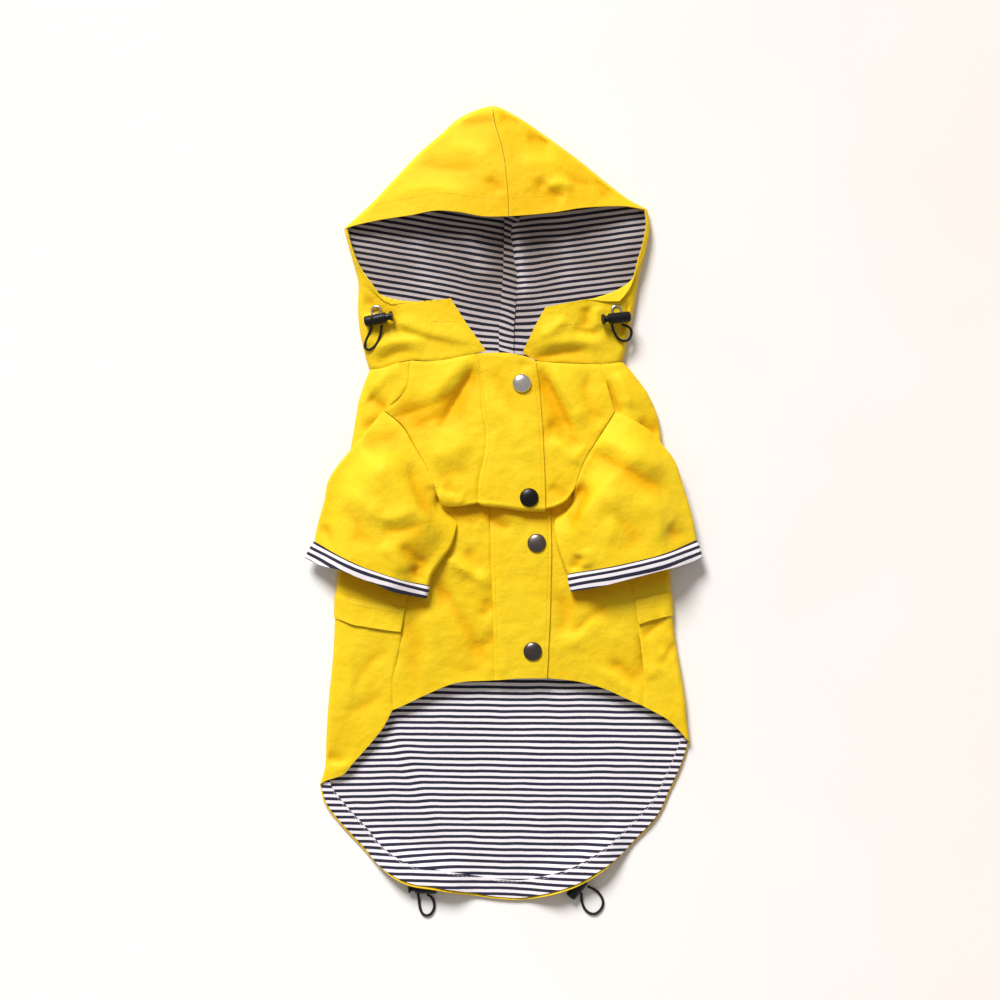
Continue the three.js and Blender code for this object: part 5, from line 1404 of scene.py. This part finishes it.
# The caps are one metal, each given a painted reflection in its tone: bright at the neck, nearly black at the
# chest, brown at the belly and dark at the hem.
GUNMETAL = {
    "neck": spun_metal("gunmetal_painted_bright_reflection", (0.62, 0.60, 0.59, 1), (0.80, 0.78, 0.76, 1), 0.2),
    "chest": spun_metal("gunmetal_painted_black_reflection", (0.022, 0.020, 0.021, 1), (0.040, 0.037, 0.036, 1), 0.34),
    "belly": spun_metal("gunmetal_painted_brown_reflection", (0.115, 0.095, 0.085, 1), (0.19, 0.165, 0.15, 1), 0.36),
    "hem": spun_metal("gunmetal_painted_dark_reflection", (0.085, 0.072, 0.068, 1), (0.14, 0.12, 0.115, 1), 0.28),
}
NICKEL = spun_metal("nickel", (0.45, 0.44, 0.42, 1), (0.62, 0.6, 0.57, 1), 0.25)
CAP = [(0, 2.55), (1.6, 2.5), (3.0, 2.3), (4.2, 2.02), (5.2, 1.6), (5.8, 1.25), (6.2, 0.8), (6.35, 0.45),
       (6.3, 0.1), (5.9, -0.1), (0, -0.1)]
for name in ("neck", "chest", "belly", "hem"):
    base, axis = seat(f"stud_{name}")
    stud = lathe(f"stud_cap_{name}", CAP, GUNMETAL[name], base, axis)
    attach(stud, "root")
    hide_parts(f"stud_{name}")

RING = [(2.2, -0.2), (3.9, -0.2), (4.0, 0.1), (3.85, 0.5), (3.4, 0.85), (2.9, 0.95), (2.45, 0.8), (2.2, 0.4),
        (2.2, -0.2)]
for name in ("left", "right"):
    base, axis = seat(f"eyelet_{name}")
    eyelet = lathe(f"eyelet_ring_{name}", RING, NICKEL, base, axis, 48)
    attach(eyelet, "root")
    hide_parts(f"eyelet_{name}")

# ---------------------------------------------------------------- cord locks
# Moulded black nylon: a barrel closed at one end, and a plunger that a spring pushes out of the other. The
# elastic goes through a hole across both, so pressing the plunger's flange in frees it.
def moulded_nylon():
    material, shader, add, into = new_material("moulded_nylon")
    place = add("TexCoord").outputs["Object"]
    grain = add("TexNoise", {"Vector": place, "Scale": 2400.0, "Detail": 3.0})
    cloud = add("TexNoise", {"Vector": place, "Scale": 300.0, "Detail": 2.0})
    colour = add("Mix", {0: cloud.outputs[0], 6: (0.004, 0.004, 0.005, 1), 7: (0.009, 0.008, 0.010, 1)},
                 data_type="RGBA")
    gloss = add("MapRange", {0: grain.outputs[0], 3: 0.3, 4: 0.46})
    bump = add("Bump", {"Height": grain.outputs[0], "Distance": 0.00003, "Strength": 0.5})
    into("Base Color", colour.outputs[2])
    into("Roughness", gloss.outputs[0])
    shader.inputs["Specular IOR Level"].default_value = 0.25
    into("Normal", bump.outputs[0])
    return material


NYLON = moulded_nylon()
BARREL = [(0, 0.15), (2.2, 0.05), (3.0, 0.2), (3.5, 0.7), (3.62, 1.4), (3.62, 4.6), (3.45, 4.8), (3.45, 5.2),
          (3.62, 5.4), (3.68, 7.5), (3.68, 13.4), (3.5, 13.6), (3.5, 14.0), (3.66, 14.2), (3.6, 14.8),
          (3.3, 15), (2.75, 15), (2.72, 14.6), (2.72, 5.0), (0, 5.0)]
PLUNGER = [(0, 9.3), (2.0, 9.2), (2.3, 9.6), (2.3, 17.4), (2.2, 17.7), (2.5, 18.1), (3.2, 18.12),
           (3.48, 18.35), (3.52, 18.9), (3.45, 19.4), (3.1, 19.68), (2.2, 19.7), (1.9, 19.55), (0, 19.5)]
for name in LOOPS:
    spots, axis = node_frame(f"lock_barrel_{name}", False)
    plunger_spots, _ = node_frame(f"lock_plunger_{name}", False)
    axis = axis * np.sign((plunger_spots.mean(0) - spots.mean(0)) @ axis)
    ends = spots @ axis
    centre = np.array([(spots @ way).max() + (spots @ way).min() for way in np.eye(3)]) / 2
    closed_end = centre + axis * (ends.min() - centre @ axis)
    barrel = lathe(f"cord_lock_barrel_{name}", BARREL, NYLON, closed_end, axis, 40)
    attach(barrel, "root")
    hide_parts(f"lock_barrel_{name}")
    plunger = lathe(f"cord_lock_plunger_{name}", PLUNGER, NYLON, closed_end, axis, 40)
    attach(plunger, f"plunger_{name}")
    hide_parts(f"lock_plunger_{name}")
